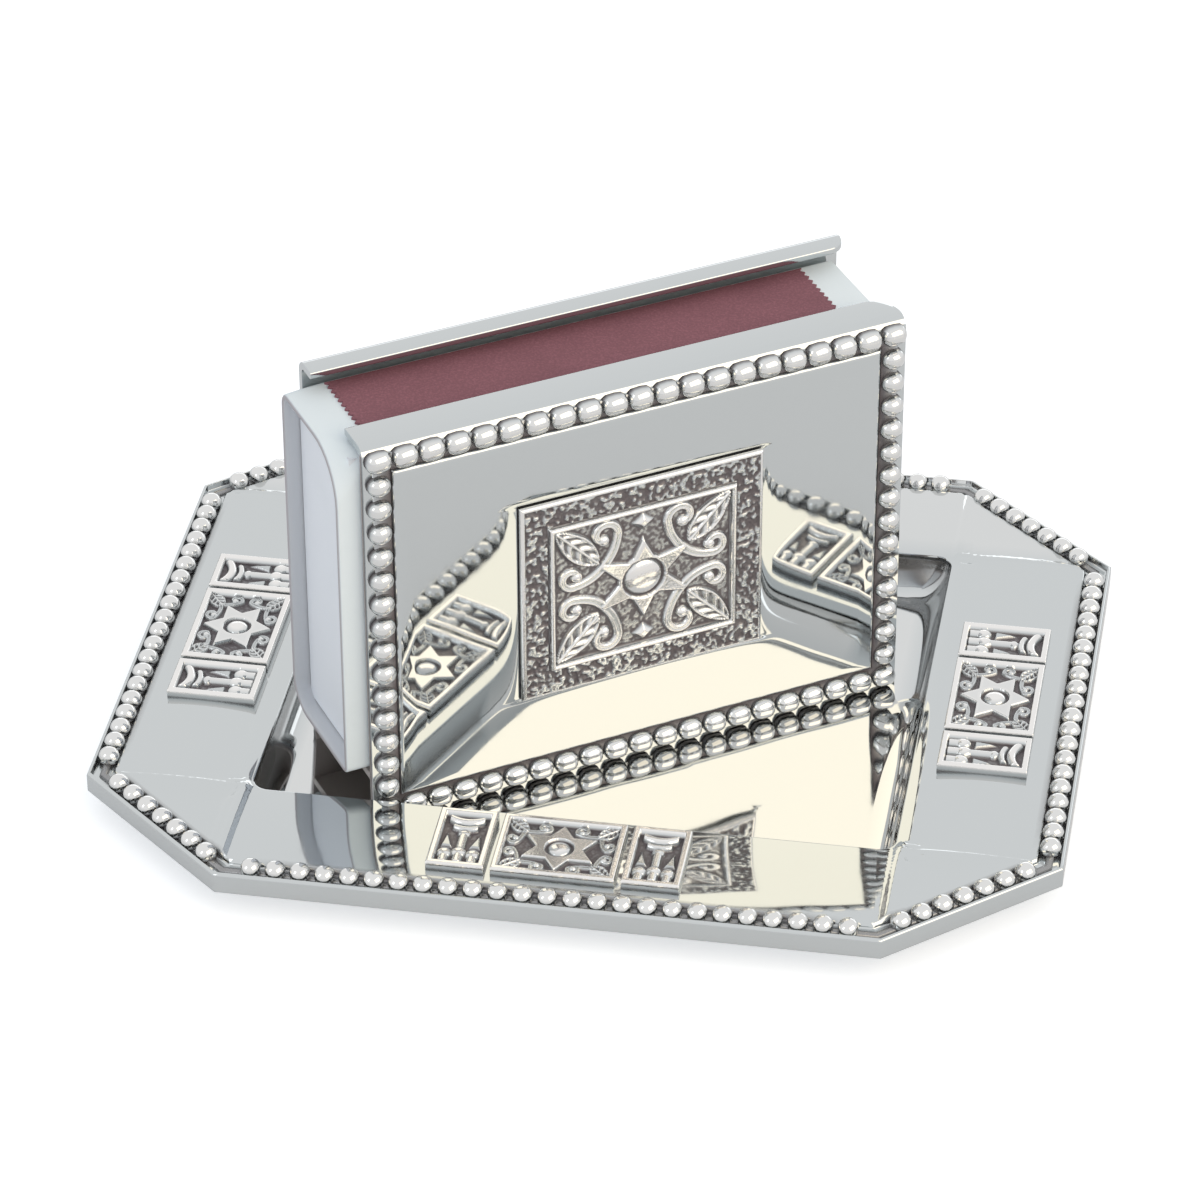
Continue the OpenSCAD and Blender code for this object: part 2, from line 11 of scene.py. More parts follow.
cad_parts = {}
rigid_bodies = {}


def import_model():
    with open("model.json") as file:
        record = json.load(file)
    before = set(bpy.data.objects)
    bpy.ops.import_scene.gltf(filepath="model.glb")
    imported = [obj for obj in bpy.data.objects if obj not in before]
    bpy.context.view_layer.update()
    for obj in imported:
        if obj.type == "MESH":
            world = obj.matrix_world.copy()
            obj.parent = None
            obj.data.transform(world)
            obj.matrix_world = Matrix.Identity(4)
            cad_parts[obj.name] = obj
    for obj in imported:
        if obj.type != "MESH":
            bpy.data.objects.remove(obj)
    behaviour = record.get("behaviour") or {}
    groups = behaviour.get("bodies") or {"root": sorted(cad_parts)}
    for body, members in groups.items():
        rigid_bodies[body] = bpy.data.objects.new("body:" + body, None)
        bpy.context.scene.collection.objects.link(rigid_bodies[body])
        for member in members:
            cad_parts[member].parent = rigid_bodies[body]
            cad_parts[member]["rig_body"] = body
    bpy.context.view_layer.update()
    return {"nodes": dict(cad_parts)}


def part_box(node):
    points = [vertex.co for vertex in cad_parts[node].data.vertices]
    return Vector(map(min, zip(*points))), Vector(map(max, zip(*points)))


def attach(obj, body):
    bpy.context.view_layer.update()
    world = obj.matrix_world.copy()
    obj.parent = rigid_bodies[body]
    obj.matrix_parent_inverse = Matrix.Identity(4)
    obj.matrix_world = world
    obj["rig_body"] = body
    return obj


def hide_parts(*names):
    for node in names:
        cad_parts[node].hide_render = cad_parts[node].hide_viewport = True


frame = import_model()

bl_info = {
    "name": "Matchbox holder on its tray",
    "version": (1, 0, 0),
    "blender": (4, 5, 0),
    "location": "View3D > Sidebar > Matchbox holder",
    "description": "Dresses the packed matchbox holder: silver, relief plaques, card and stage",
    "category": "Object",
}

MM = 0.001
SIDES = {"front": 0, "right": 90, "back": 180, "left": 270}


def size(name, millimetres, text):
    """A length property, given in millimetres and kept in metres."""
    return FloatProperty(name=name, description=text, default=millimetres * MM,
                         min=0.0, precision=5, unit="LENGTH")


def tint(name, colour, text):
    """A colour property."""
    return FloatVectorProperty(name=name, description=text, default=colour,
                               size=3, min=0.0, max=1.0, subtype="COLOR")


class TraySizes(PropertyGroup):
    """Sizes of the tray that its box in the frame doesn't give."""
    bead: size("Bead radius", 0.9, "Radius of a bead on the tray")
    pitch: size("Bead pitch", 2.22, "Distance between the tray's beads")
    corner_gap: size("Corner gap", 2.2, "Plain stretch from an octagon corner to the first bead")
    rim_end: size("End rim", 13.75, "From the well to the bead line at the two ends")
    rim_side: size("Side rim", 12.05, "From the well to the bead line at the long sides")
    well_depth: size("Well depth", 3.5, "How far the well is sunk below its fold")
    well_corner: size("Well corner", 1.5, "Radius of the well's upright corners")
    cove_front: size("Front cove", 0.8, "Width of the cove along the well's front")
    cove_back: size("Back cove", 2.8, "Width of the cove along the well's back")
    cove_left: size("Left cove", 2.4, "Width of the cove at the well's left end")
    cove_right: size("Right cove", 3.1, "Width of the cove at the well's right end")
    sheet: size("Sheet", 0.9, "Thickness of the tray's sheet")
    crown: size("Crown", 0.26, "Crown of a rim panel above its chord")
    rise: size("Rise", 0.18, "Rise of a rim panel from the fold to the beads")
    rail: size("Rail", 0.28, "Height of the rails that run front to back")
    channel: size("Channel", 2.1, "Width of the channel that the beads lie in")
    channel_depth: size("Channel depth", 0.4, "Depth of the bead channel")
    lip: size("Lip", 1.4, "From the bead line to the outer edge")
    lip_rise: size("Lip rise", 0.25, "Height of the lip above the fold")
    edge: size("Edge", 2.1, "Height of the turned-down edge")


class HolderSizes(PropertyGroup):
    """Sizes of the holder that its box in the frame doesn't give."""
    turn: FloatProperty(name="Turn", description="Turn of the holder on its tray",
                        default=radians(33.7), subtype="ANGLE")
    sheet: size("Sheet", 0.7, "Thickness of the holder's sheet")
    bend: size("Bend", 0.5, "Inner radius of the bends")
    front_lip: size("Front lip", 4.1, "How far the front lip reaches in")
    back_lip: size("Back lip", 2.9, "How far the back lip reaches in")
    back_rise: size("Back rise", 1.1, "Height of the back lip above the front one")
    lip_round: size("Lip corner", 2.6, "Radius of the lips' right-hand corners")
    bead: size("Bead radius", 1.02, "Radius of a bead on the holder")
    bead_edge: size("Bead edge", 1.35, "From the outer edge to the bead line")
    beads_wide: IntProperty(name="Beads along", description="Beads along the top", default=21)
    beads_high: IntProperty(name="Beads up", description="Beads up each side", default=16)
    field_inset: size("Field inset", 2.55, "From the outer edge to the mirror field")
    field_rise: size("Field rise", 0.45, "Height of the mirror field")
    dish: size("Dish", 1.6, "Width of the dished strip round the plaque")
    dish_depth: size("Dish depth", 0.09, "Depth of the mirror's dish beside the plaque")
    seat: size("Seat", 0.15, "Height of the plaque's foot above the mirror field")
    plaque_length: size("Plaque length", 23.9, "Length of the face's plaque")
    plaque_height: size("Plaque height", 20.8, "Height of the face's plaque")
    band: size("Pebbled band", 2.6, "Width of the pebbled border")
    frame: size("Inner frame", 0.8, "Width of the plaque's raised frame")


class Finish(PropertyGroup):
    """Colours and gloss of the finishes."""
    silver: tint("Silver", (0.575, 0.60, 0.607), "Polished silver")
    # Bright silver also carries a painted reflection on the tray's rim behind the well.
    bright: tint("Bright silver", (0.82, 0.805, 0.79), "Silver rubbed bright on the high points")
    # Oxide also carries the painted contact shadow at the plaques' feet.
    oxide: tint("Oxide", (0.125, 0.105, 0.112), "Oxidised silver in the recesses")
    # Inside is unpolished silver; its tone, lighter than oxide, is also painted light in the holder's
    # shaded inside.
    inside: tint("Inside", (0.46, 0.41, 0.39), "Unpolished silver inside the holder")
    card: tint("Card", (0.83, 0.90, 0.94), "White card of the sleeve")
    # The edge colour also gives the painted shade on the sleeve's inner walls.
    card_shade: tint("Card shade", (0.89, 0.92, 0.97), "Card of the drawer")
    card_edge_and_shade: tint("Card edge", (0.36, 0.30, 0.32), "Cut edge of the card")
    striker: tint("Striker", (0.235, 0.098, 0.120), "Striking surface")
    wood: tint("Match wood", (0.72, 0.56, 0.36), "Bare matchsticks")
    head: tint("Match head", (0.42, 0.07, 0.06), "Dipped match heads")


class Stage(PropertyGroup):
    """Camera, floor and lights."""
    lens: FloatProperty(name="Lens", description="Focal length in millimetres on a 36 mm film",
                        default=164.3)
    tilt: FloatProperty(name="Tilt", description="Camera's turn about its own X axis",
                        default=2.177038, subtype="ANGLE")
    lean: FloatProperty(name="Lean", description="Camera's turn about its Y axis",
                        default=-0.003058, subtype="ANGLE")
    swing: FloatProperty(name="Swing", description="Camera's turn about the upright axis",
                         default=-0.164652, subtype="ANGLE")
    reach: FloatVectorProperty(name="Reach", description="Tray's centre as the camera sees it",
                               default=(0.0011544, 0.0062362, 0.5096247), unit="LENGTH",
                               precision=6)
    world: tint("World", (0.70, 0.72, 0.74), "Ambient light on the object")
    cream: tint("Cream light", (1.0, 0.83, 0.58), "Colour of the warm softbox")


def holder_place():
    """Width, depth, foot height and the face's middle, worked out from the frame.

    The shell is a turned rectangle: its spans are width*cos + depth*sin and
    width*sin + depth*cos, which two equations give back the width and the depth.
    """
    sizes = bpy.context.scene.holder_sizes
    low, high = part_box("holder_shell")
    c, s = cos(sizes.turn), sin(sizes.turn)
    span_x, span_y = high.x - low.x, high.y - low.y
    width = (span_x * c - span_y * s) / (c * c - s * s)
    depth = (span_y * c - span_x * s) / (c * c - s * s)
    middle = (high.x - width / 2 * c, low.y + width / 2 * s, low.z)
    return {"width": width, "depth": depth, "middle": middle, "turn": sizes.turn,
            "height": high.z - low.z - sizes.back_rise}


def on_holder(points, back=False):
    """Carries points from the holder's frame to the world: a turn about Z, then a move.

    With back, the relief is first turned half round the middle of the holder's depth.
    """
    place = holder_place()
    p = np.array(points, float)
    if back:
        p = np.stack([-p[..., 0], place["depth"] - p[..., 1], p[..., 2]], -1)
    c, s = cos(place["turn"]), sin(place["turn"])
    x = p[..., 0] * c - p[..., 1] * s + place["middle"][0]
    y = p[..., 0] * s + p[..., 1] * c + place["middle"][1]
    return np.stack([x, y, p[..., 2] + place["middle"][2]], -1)


def grid_faces(rows, columns, wrap=False):
    """Quads of a grid of points, row by row; wrap joins the last column to the first."""
    i = np.arange(rows - 1)[:, None] * columns
    j = np.arange(columns if wrap else columns - 1)[None, :]
    k = (j + 1) % columns
    quads = np.stack([i + j, i + k, i + columns + k, i + columns + j], -1)
    return quads.reshape(-1, 4)


def surface(points, wrap=False, flip=False, caps=(False, False)):
    """A grid of points as vertices and faces. caps close the first and last rows."""
    rows, columns = points.shape[:2]
    quads = grid_faces(rows, columns, wrap)
    faces = [list(q) for q in (quads[:, ::-1] if flip else quads)]
    for cap, row in zip(caps, (0, rows - 1)):
        if cap:
            ring = list(range(row * columns, (row + 1) * columns))
            outward = (row == 0) != flip
            faces.append(ring[::-1] if outward else ring)
    return points.reshape(-1, 3), faces


def closed_plate(points, axis, foot):
    """A grid of points with a skirt down to foot along the axis, and a foot that closes it."""
    points = np.pad(points, ((1, 1), (1, 1), (0, 0)), mode="edge")
    for border in (points[0], points[-1], points[:, 0], points[:, -1]):
        border[:, axis] = foot
    vertices, faces = surface(points)
    index = np.arange(len(vertices)).reshape(points.shape[:2])
    loop = [*index[0], *index[1:, -1], *index[-1, -2::-1], *index[-2:0:-1, 0]]
    faces.append([int(i) for i in loop[::-1]])
    return vertices, faces


def join(parts):
    """Several (vertices, faces) as one."""
    start, vertices, faces = 0, [], []
    for v, f in parts:
        vertices.append(v)
        faces += [[int(i) + start for i in face] for face in f]
        start += len(v)
    return np.concatenate(vertices), faces


def add_piece(name, part, node, material, tone_and_painted_light):
    """Makes the mesh object that stands for a CAD node and rides on its body."""
    vertices, faces = part
    mesh = bpy.data.meshes.new(name)
    mesh.from_pydata(vertices.tolist(), [], faces)
    mesh.validate()
    mesh.polygons.foreach_set("use_smooth", [True] * len(mesh.polygons))
    layer = mesh.attributes.new("tone_and_painted_light", "FLOAT", "POINT")
    layer.data.foreach_set("value", np.clip(tone_and_painted_light, -1, 2).astype(np.float32))
    mesh.update()
    piece = bpy.data.objects.new(name, mesh)
    bpy.context.scene.collection.objects.link(piece)
    mesh.materials.append(material)
    body = frame["nodes"][node]["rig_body"]
    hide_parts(node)
    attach(piece, body)
    return piece


def bevel(piece, width):
    """Rounds the edges sharper than 35 degrees with a live Bevel modifier."""
    modifier = piece.modifiers.new("rounded edges", "BEVEL")
    modifier.width = width
    modifier.segments = 2
    modifier.limit_method = "ANGLE"
    modifier.angle_limit = radians(35)
    modifier.harden_normals = True


# Shader expressions


class Value:
    """A shader socket that takes part in arithmetic, so that sums add their Math nodes."""

    def __init__(self, tree, socket):
        self.tree = tree
        self.socket = socket

    def math(self, operation, *others, clamp=False):
        node = self.tree.tree.nodes.new("ShaderNodeMath")
        node.operation = operation
        node.use_clamp = clamp
        for slot, value in zip(node.inputs, (self, *others)):
            self.tree.put(slot, value)
        return Value(self.tree, node.outputs[0])

    def __add__(self, other):
        return self.math("ADD", other)

    def __radd__(self, other):
        return self.math("ADD", other)

    def __mul__(self, other):
        return self.math("MULTIPLY", other)

    def __rmul__(self, other):
        return self.math("MULTIPLY", other)

    def __sub__(self, other):
        return self.math("SUBTRACT", other)

    def __rsub__(self, other):
        return (self * -1.0) + other

    def clamp(self):
        return self.math("ADD", 0.0, clamp=True)

    def between(self, low, high):
        """0 below low, 1 above high and straight between them."""
        return ((self - low) * (1.0 / (high - low))).clamp()


class Tree:
    """Builds a node tree, one node at a time."""

    def __init__(self, tree):
        self.tree = tree
        tree.nodes.clear()

    def put(self, slot, value):
        """Links a value to a socket, or writes a plain one on it."""
        if isinstance(value, Value):
            self.tree.links.new(value.socket, slot)
        elif hasattr(slot.default_value, "__len__") and len(slot.default_value) == 4:
            slot.default_value = (*value[:3], 1.0)
        else:
            slot.default_value = value

    def node(self, kind, output=0, settings=None, **inputs):
        """Adds a node, sets its settings first and then its sockets; gives one output."""
        made = self.tree.nodes.new(kind)
        for key, value in (settings or {}).items():
            setattr(made, key, value)
        for key, value in inputs.items():
            slot = made.inputs[int(key[1:])] if key[0] == "_" and key[1:].isdigit() \
                else made.inputs[key.replace("_", " ")]
            self.put(slot, value)
        return Value(self, made.outputs[output]) if made.outputs else None

    def mix(self, factor, a, b):
        """A colour between a and b."""
        made = self.tree.nodes.new("ShaderNodeMix")
        made.data_type = "RGBA"
        for slot, value in ((made.inputs[0], factor), (made.inputs[6], a), (made.inputs[7], b)):
            self.put(slot, value)
        return Value(self, made.outputs[2])

    def place(self):
        """Object coordinates."""
        return self.node("ShaderNodeTexCoord", output="Object")

    def noise(self, scale, detail=2.0, roughness=0.5, vector=None):
        return self.node("ShaderNodeTexNoise", Vector=vector or self.place(), Scale=scale,
                         Detail=detail, Roughness=roughness)

    def bump(self, height, strength, distance):
        return self.node("ShaderNodeBump", Height=height, Strength=strength, Distance=distance)


def new_material(name):
    """The material of that name with an emptied node tree."""
    material = bpy.data.materials.get(name) or bpy.data.materials.new(name)
    material.use_nodes = True
    return material, Tree(material.node_tree)


def finish_material(tree, **sockets):
    """Ends a material with one Principled shader."""
    shader = tree.node("ShaderNodeBsdfPrincipled", **sockets)
    tree.node("ShaderNodeOutputMaterial", Surface=shader)


def silver(name, polish, tarnish=1.0, waviness=0.0, grain=0.0):
    """Silver: the attribute it reads runs from -1, rubbed bright, over 0, plain, to 1, oxide,
    and on to 2, dull where no cloth reaches. Part of it is painted light: a painted
    reflection on the tray's rim behind the well, a painted contact shadow at the plaques'
    feet, and in the holder's dull inside a lighter tone that stands in for light.

    Roughness is the polish, plus faint wear from noise, plus more in the oxide. Waviness
    bends the reflections slowly, as hand-finished sheet does; grain is a fine stipple.
    """
    finish = bpy.context.scene.finish
    material, tree = new_material(name)
    place = tree.place()
    tone_and_painted_light = tree.node("ShaderNodeAttribute", output="Fac", settings={"attribute_name": "tone_and_painted_light"})
    blotch = tree.noise(900.0, 3.0, 0.6, place)
    dark = (tone_and_painted_light * tarnish + (blotch - 0.5) * 0.35 * tone_and_painted_light).clamp()
    colour = tree.mix((tone_and_painted_light * -1.0).clamp(), finish.silver, finish.bright)
    colour = tree.mix(dark, colour, finish.oxide)
    # dull: unpolished silver, lighter than oxide; in the holder's shaded inside that lighter tone is
    # painted light.
    dull = (tone_and_painted_light - 1.0).clamp()
    colour = tree.mix(dull, colour, finish.inside)
    wear = tree.noise(320.0, 4.0, 0.65, place).between(0.52, 0.85)
    rough = (wear * 0.05 + dark * 0.34 + polish).clamp()
    metal = (1.0 - dark * 0.7 - dull * 0.3).clamp()
    sockets = {"Base_Color": colour, "Metallic": metal, "Roughness": rough}
    height = None
    if waviness:
        height = tree.noise(95.0, 1.0, 0.4, place) * waviness
    if grain:
        fine = tree.noise(2600.0, 2.0, 0.6, place) * grain
        height = fine if height is None else height + fine
    if height is not None:
        sockets["Normal"] = tree.bump(height, 1.0, MM)
    finish_material(tree, **sockets)
    return material


def card(name, colour):
    """Coated white card: near-white with faint fibres, a little soil and a soft tooth."""
    material, tree = new_material(name)
    place = tree.place()
    fibre = tree.noise(2400.0, 5.0, 0.7, place)
    soil = tree.noise(160.0, 3.0, 0.6, place).between(0.55, 0.9)
    shaded = tuple(c * 0.90 for c in colour)
    base = tree.mix((soil * 0.35 + (fibre - 0.5) * 0.3).clamp(), colour, shaded)
    # The attribute mixes in the edge colour: a real cut edge on the sleeve's mouths, painted shade on its
    # inner walls.
    cut = tree.node("ShaderNodeAttribute", output="Fac", settings={"attribute_name": "tone_and_painted_light"})
    base = tree.mix((cut * 0.75).clamp(), base, bpy.context.scene.finish.card_edge_and_shade)
    finish_material(tree, Base_Color=base, Roughness=0.62, Specular_IOR_Level=0.3,
                    Normal=tree.bump(fibre, 0.12, 0.1 * MM))
    return material


def striker(name):
    """Striking paper: red-brown phosphorus with a fine grit, paler where grains stand up."""
    finish = bpy.context.scene.finish
    material, tree = new_material(name)
    place = tree.place()
    grit = tree.noise(4200.0, 3.0, 0.7, place)
    cloud = tree.noise(240.0, 3.0, 0.5, place)
    base = tree.mix(grit.between(0.45, 0.75), finish.striker,
                    tuple(min(1.0, c * 1.5) for c in finish.striker))
    base = tree.mix(cloud.between(0.4, 0.8) * 0.35, base, tuple(c * 0.75 for c in finish.striker))
    finish_material(tree, Base_Color=base, Roughness=0.8, Specular_IOR_Level=0.35,
                    Normal=tree.bump(grit, 0.5, 0.08 * MM))
    return material


def match_wood(name):
    """Aspen splints: pale wood with darker grain along the stick."""
    finish = bpy.context.scene.finish
    material, tree = new_material(name)
    turn = bpy.context.scene.holder_sizes.turn
    along = tree.node("ShaderNodeMapping", Vector=tree.place(), Rotation=(0, 0, -turn),
                      Scale=(60.0, 1400.0, 1400.0))
    grain = tree.noise(1.0, 3.0, 0.6, along)
    base = tree.mix(grain.between(0.4, 0.75), finish.wood, tuple(c * 0.7 for c in finish.wood))
    finish_material(tree, Base_Color=base, Roughness=0.7,
                    Normal=tree.bump(grain, 0.3, 0.05 * MM))
    return material


def match_head(name):
    """Dipped heads: dark red, slightly glossy, pimpled by the grains in the dip."""
    finish = bpy.context.scene.finish
    material, tree = new_material(name)
    grains = tree.noise(3000.0, 2.0, 0.6)
    base = tree.mix(grains.between(0.35, 0.7), finish.head,
                    tuple(c * 0.6 for c in finish.head))
    finish_material(tree, Base_Color=base, Roughness=0.45,
                    Normal=tree.bump(grains, 0.5, 0.06 * MM))
    return material


# Tray


def tray_plan():
    """The well's and the bead line's half sizes, from the frame."""
    sizes = bpy.context.scene.tray_sizes
    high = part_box("tray_beading")[1]
    bead_x, bead_y = high.x - sizes.bead, high.y - sizes.bead
    return bead_x - sizes.rim_end, bead_y - sizes.rim_side, bead_x, bead_y


def octagon_ring(grow, side, corner):
    """Points round an octagon whose corners lie on the lines of the well's edges.

    Each straight side is split at the fractions in side, each cut corner at those in
    corner. grow moves every edge outwards; its corners move along their bisectors.
    """
    well_x, well_y, bead_x, bead_y = tray_plan()
    a = np.arctan2(bead_y - well_y, bead_x - well_x)
    x0, y0 = well_x + grow * np.tan(a / 2), well_y + grow * np.tan((pi / 2 - a) / 2)
    x1, y1 = bead_x + grow, bead_y + grow
    ends = [(-x0, -y1), (x0, -y1), (x1, -y0), (x1, y0), (x0, y1), (-x0, y1), (-x1, y0), (-x1, -y0)]
    ring = []
    for k in range(8):
        (ax, ay), (bx, by) = ends[k], ends[(k + 1) % 8]
        f = side if k % 2 == 0 else corner
        ring.append(np.stack([ax + (bx - ax) * f, ay + (by - ay) * f], -1))
    return np.concatenate(ring)


def well_ring(grow, radius, side, corner):
    """Points round the well: straight sides, with an arc of the given radius at each corner."""
    well_x, well_y = tray_plan()[:2]
    x, y, r = well_x - radius, well_y - radius, radius + grow
    ring = []
    for k, (sx, sy) in enumerate(((1, -1), (1, 1), (-1, 1), (-1, -1))):
        start = -pi / 2 + k * pi / 2
        previous = ((-1, -1), (1, -1), (1, 1), (-1, 1))[k]
        a = np.array([previous[0] * x, previous[1] * y]) + r * np.array([cos(start), sin(start)])
        b = np.array([sx * x, sy * y]) + r * np.array([cos(start), sin(start)])
        ring.append(a + (b - a) * side[:, None])
        angle = start + corner * pi / 2
        ring.append(np.stack([sx * x + r * np.cos(angle), sy * y + r * np.sin(angle)], -1))
    return np.concatenate(ring)


def hump(distance, half):
    """Rounded ridge: the upper half of an ellipse, 1 on its line and 0 past half."""
    return np.sqrt(np.clip(1 - (distance / half) ** 2, 0, 1))


def rim_height(xy, share, fold_z):
    """Height of the rim at points whose share of the way to the channel is given.

    A panel is a shallow arch over that share. The cut corners are flat, blended into the
    panels near their folds. A rounded rail and a finer one beside it follow the lines
    x = the well's edge, and a thin ridge the lines y = the well's edge.
    """
    sizes = bpy.context.scene.tray_sizes
    well_x, well_y = tray_plan()[:2]
    over_x, over_y = np.abs(xy[:, 0]) - well_x, np.abs(xy[:, 1]) - well_y
    corner = (over_x > 0) & (over_y > 0)
    near = np.exp(-(np.minimum(over_x, over_y) / (1.6 * MM)) ** 2)
    arch = sizes.crown * 4 * share * (1 - share)
    z = fold_z + sizes.rise * share + arch * np.where(corner, near, 1.0)
    shown = np.clip(share * 12, 0, 1)
    z = z + sizes.rail * hump(over_x - 0.65 * MM, 0.62 * MM) * shown
    z = z + 0.7 * sizes.rail * hump(over_x - 1.55 * MM, 0.25 * MM) * shown
    return z + 0.35 * sizes.rail * hump(over_y - 0.1 * MM, 0.2 * MM) * shown * (over_x > 0)


def tray_surface():
    """The whole sheet as one closed skin of rings.

    From the middle of the floor outwards: the cove is a quarter ellipse, narrow and low
    along the front, where the wall above it is upright, and as high as the wall elsewhere.
    The fold is a small quarter circle, the rim runs straight from the well's outline to the
    channel's, and the lip turns down by a quarter circle. Then the same way back below.
    The floor is lighter silver; up the coves it grows lighter at the front right and darker
    at the left and the back. The top of the rim behind the well is painted brighter, a painted
    reflection.
    """
    sizes = bpy.context.scene.tray_sizes
    side = np.concatenate([[0, 0.01, 0.03], np.linspace(0.06, 0.94, 23), [0.97, 0.99]])
    corner = 0.5 * (1 - np.cos(pi * np.arange(48) / 48))
    floor_z = sizes.sheet
    fold_z = floor_z + sizes.well_depth
    lip_z = fold_z + sizes.lip_rise
    channel_z = fold_z - sizes.channel_depth
    half, r = sizes.channel / 2, sizes.well_corner
    fold = 0.22 * MM
    rings, dark = [], []

    run = np.concatenate([side if k % 2 == 0 else corner for k in range(8)])
    plain = np.clip(np.minimum(run, 1 - run) / 0.09 - 0.4, 0, 1)

    def ring(xy, z, tone_and_painted_light=0.0):
        z = np.broadcast_to(z, len(xy))
        rings.append(np.column_stack([xy, z]))
        # far is a painted reflection: the top of the rim behind the well is painted up to 0.3 towards
        # bright silver.
        far = np.clip((xy[:, 1] - tray_plan()[1]) / (2.5 * MM), 0, 1)
        dark.append(tone_and_painted_light - 0.3 * far * (z > fold_z - 0.3 * MM))

    def well(grow, z, tone_and_painted_light=0.0):
        ring(well_ring(grow, r, side, corner), z, tone_and_painted_light)

    def octagon(grow, z, tone_and_painted_light=0.0):
        ring(octagon_ring(grow, side, corner), z, tone_and_painted_light * plain)

    wall = well_ring(0, r, side, corner)
    well_x, well_y = tray_plan()[:2]
    left = wall[:, 0] < 0
    front = wall[:, 1] < 0
    widths = np.stack([np.where(left, sizes.cove_left, sizes.cove_right),
                       np.where(front, sizes.cove_front, sizes.cove_back)], -1)
    top_z = fold_z - fold - 0.05 * MM
    steep = np.clip((np.abs(wall[:, 0]) - (well_x - r)) / r, 0, 1)
    tall = np.maximum(steep, np.where(front, sizes.cove_front / (top_z - floor_z), 1.0))
    # Up each cove the silver turns darker at the left and the back, lighter at the front right.
    for a in np.linspace(0, pi / 2, 15):
        inward = 1 - widths * (1 - sin(a)) / np.array([well_x, well_y])
        ring(wall * inward, floor_z + tall * (top_z - floor_z) * (1 - cos(a)),
             -0.35 + sin(a) * np.where(left | ~front, 0.75, -0.5))
    well(0, top_z, -0.2)
    for a in np.linspace(0, pi / 2, 6):
        well(fold * (1 - cos(a)), fold_z + fold * (sin(a) - 1))
    inner = well_ring(fold, r, side, corner)
    outer = octagon_ring(-half, side, corner)
    for share in np.concatenate([[0.01, 0.03, 0.06], np.linspace(0.1, 0.95, 18), [0.985, 1.0]]):
        xy = inner + (outer - inner) * share
        ring(xy, rim_height(xy, share, fold_z), plain * max(0.0, share - 0.96) * 10)
    octagon(-half + 0.03 * MM, channel_z + 0.1 * MM, 0.8)
    octagon(-half + 0.12 * MM, channel_z, 0.75)
    octagon(-half + 0.4 * MM, channel_z, 0.5)
    octagon(half - 0.3 * MM, channel_z, 0.35)
    octagon(half - 0.12 * MM, channel_z, 0.45)
    octagon(half - 0.03 * MM, channel_z + 0.1 * MM, 0.4)
    octagon(half, lip_z - 0.06 * MM, 0.1)
    edge = 0.3 * MM
    octagon(half + 0.04 * MM, lip_z, 0.0)
    for a in np.linspace(0, pi / 2, 7):
        octagon(sizes.lip + edge * (sin(a) - 1), lip_z + edge * (cos(a) - 1))
    foot_z = lip_z - sizes.edge
    octagon(sizes.lip, foot_z + 0.45 * MM)
    turn = 0.17 * MM
    for a in np.linspace(0, pi, 7):
        octagon(sizes.lip - turn * (1 - cos(a)), foot_z + turn * (1 - sin(a)))
    under_z = fold_z - sizes.sheet
    octagon(sizes.lip - 2 * turn, under_z - 0.2 * MM)
    octagon(sizes.lip - 2 * turn - 0.2 * MM, under_z)
    well(sizes.sheet + 0.3 * MM, under_z)
    well(sizes.sheet, under_z - 0.3 * MM)
    well(sizes.sheet, 0.8 * MM)
    for a in np.linspace(0, pi / 2, 6):
        well(sizes.sheet - 0.8 * MM * (1 - cos(a)), 0.8 * MM * (1 - sin(a)))
    well(sizes.sheet - 1.0 * MM, 0.0)
    skin = surface(np.array(rings), wrap=True, caps=(True, True))
    return skin, np.concatenate(dark)


def bead_form(radius, lift, drum, around=16, levels=7):
    """A bead on its foot: rings of a circle from the foot's level up to the pole.

    Lengthwise x becomes radius * (x / radius) ** drum, which makes a ball a blunt drum.
    """
    low = -np.arcsin(min(1.0, lift / radius))
    angles = np.linspace(low, pi / 2, levels + 1)[:-1]
    turn = np.linspace(0, 2 * pi, around, endpoint=False)
    rings = np.stack([np.outer(np.cos(angles), np.cos(turn)),
                      np.outer(np.cos(angles), np.sin(turn)),
                      np.repeat(np.sin(angles)[:, None], around, 1)], -1) * radius
    vertices, faces = surface(rings, wrap=True, caps=(True, False))
    pole = len(vertices)
    last = (levels - 1) * around
    faces += [[last + i, last + (i + 1) % around, pole] for i in range(around)]
    vertices = np.concatenate([vertices, [[0, 0, radius]]]) + [0, 0, lift]
    rise = (vertices[:, 2] - vertices[:, 2].min()) / radius
    along = vertices[:, 0] / radius
    vertices[:, 0] = radius * np.sign(along) * np.abs(along) ** drum
    return vertices, faces, np.clip((0.50 - rise) / 0.34, -0.6, 1)


def bead_string(places, axes, radius, lift, squash, drum, seed):
    """Beads at the places, each turned to its row and a little uneven, as cast beads are."""
    form, faces, dark = bead_form(radius, lift, drum)
    chance = np.random.default_rng(seed)
    parts, shade = [], []
    for (centre, along) in zip(places, axes):
        stretch = np.array([*squash, 1.0]) * (1 + 0.05 * (chance.random(3) - 0.5))
        across = np.array([-along[1], along[0]])
        p = form * stretch
        flat = p[:, :1] * along + p[:, 1:2] * across + centre
        parts.append((np.column_stack([flat, p[:, 2]]), faces))
        shade.append(dark)
    return join(parts), np.concatenate(shade)


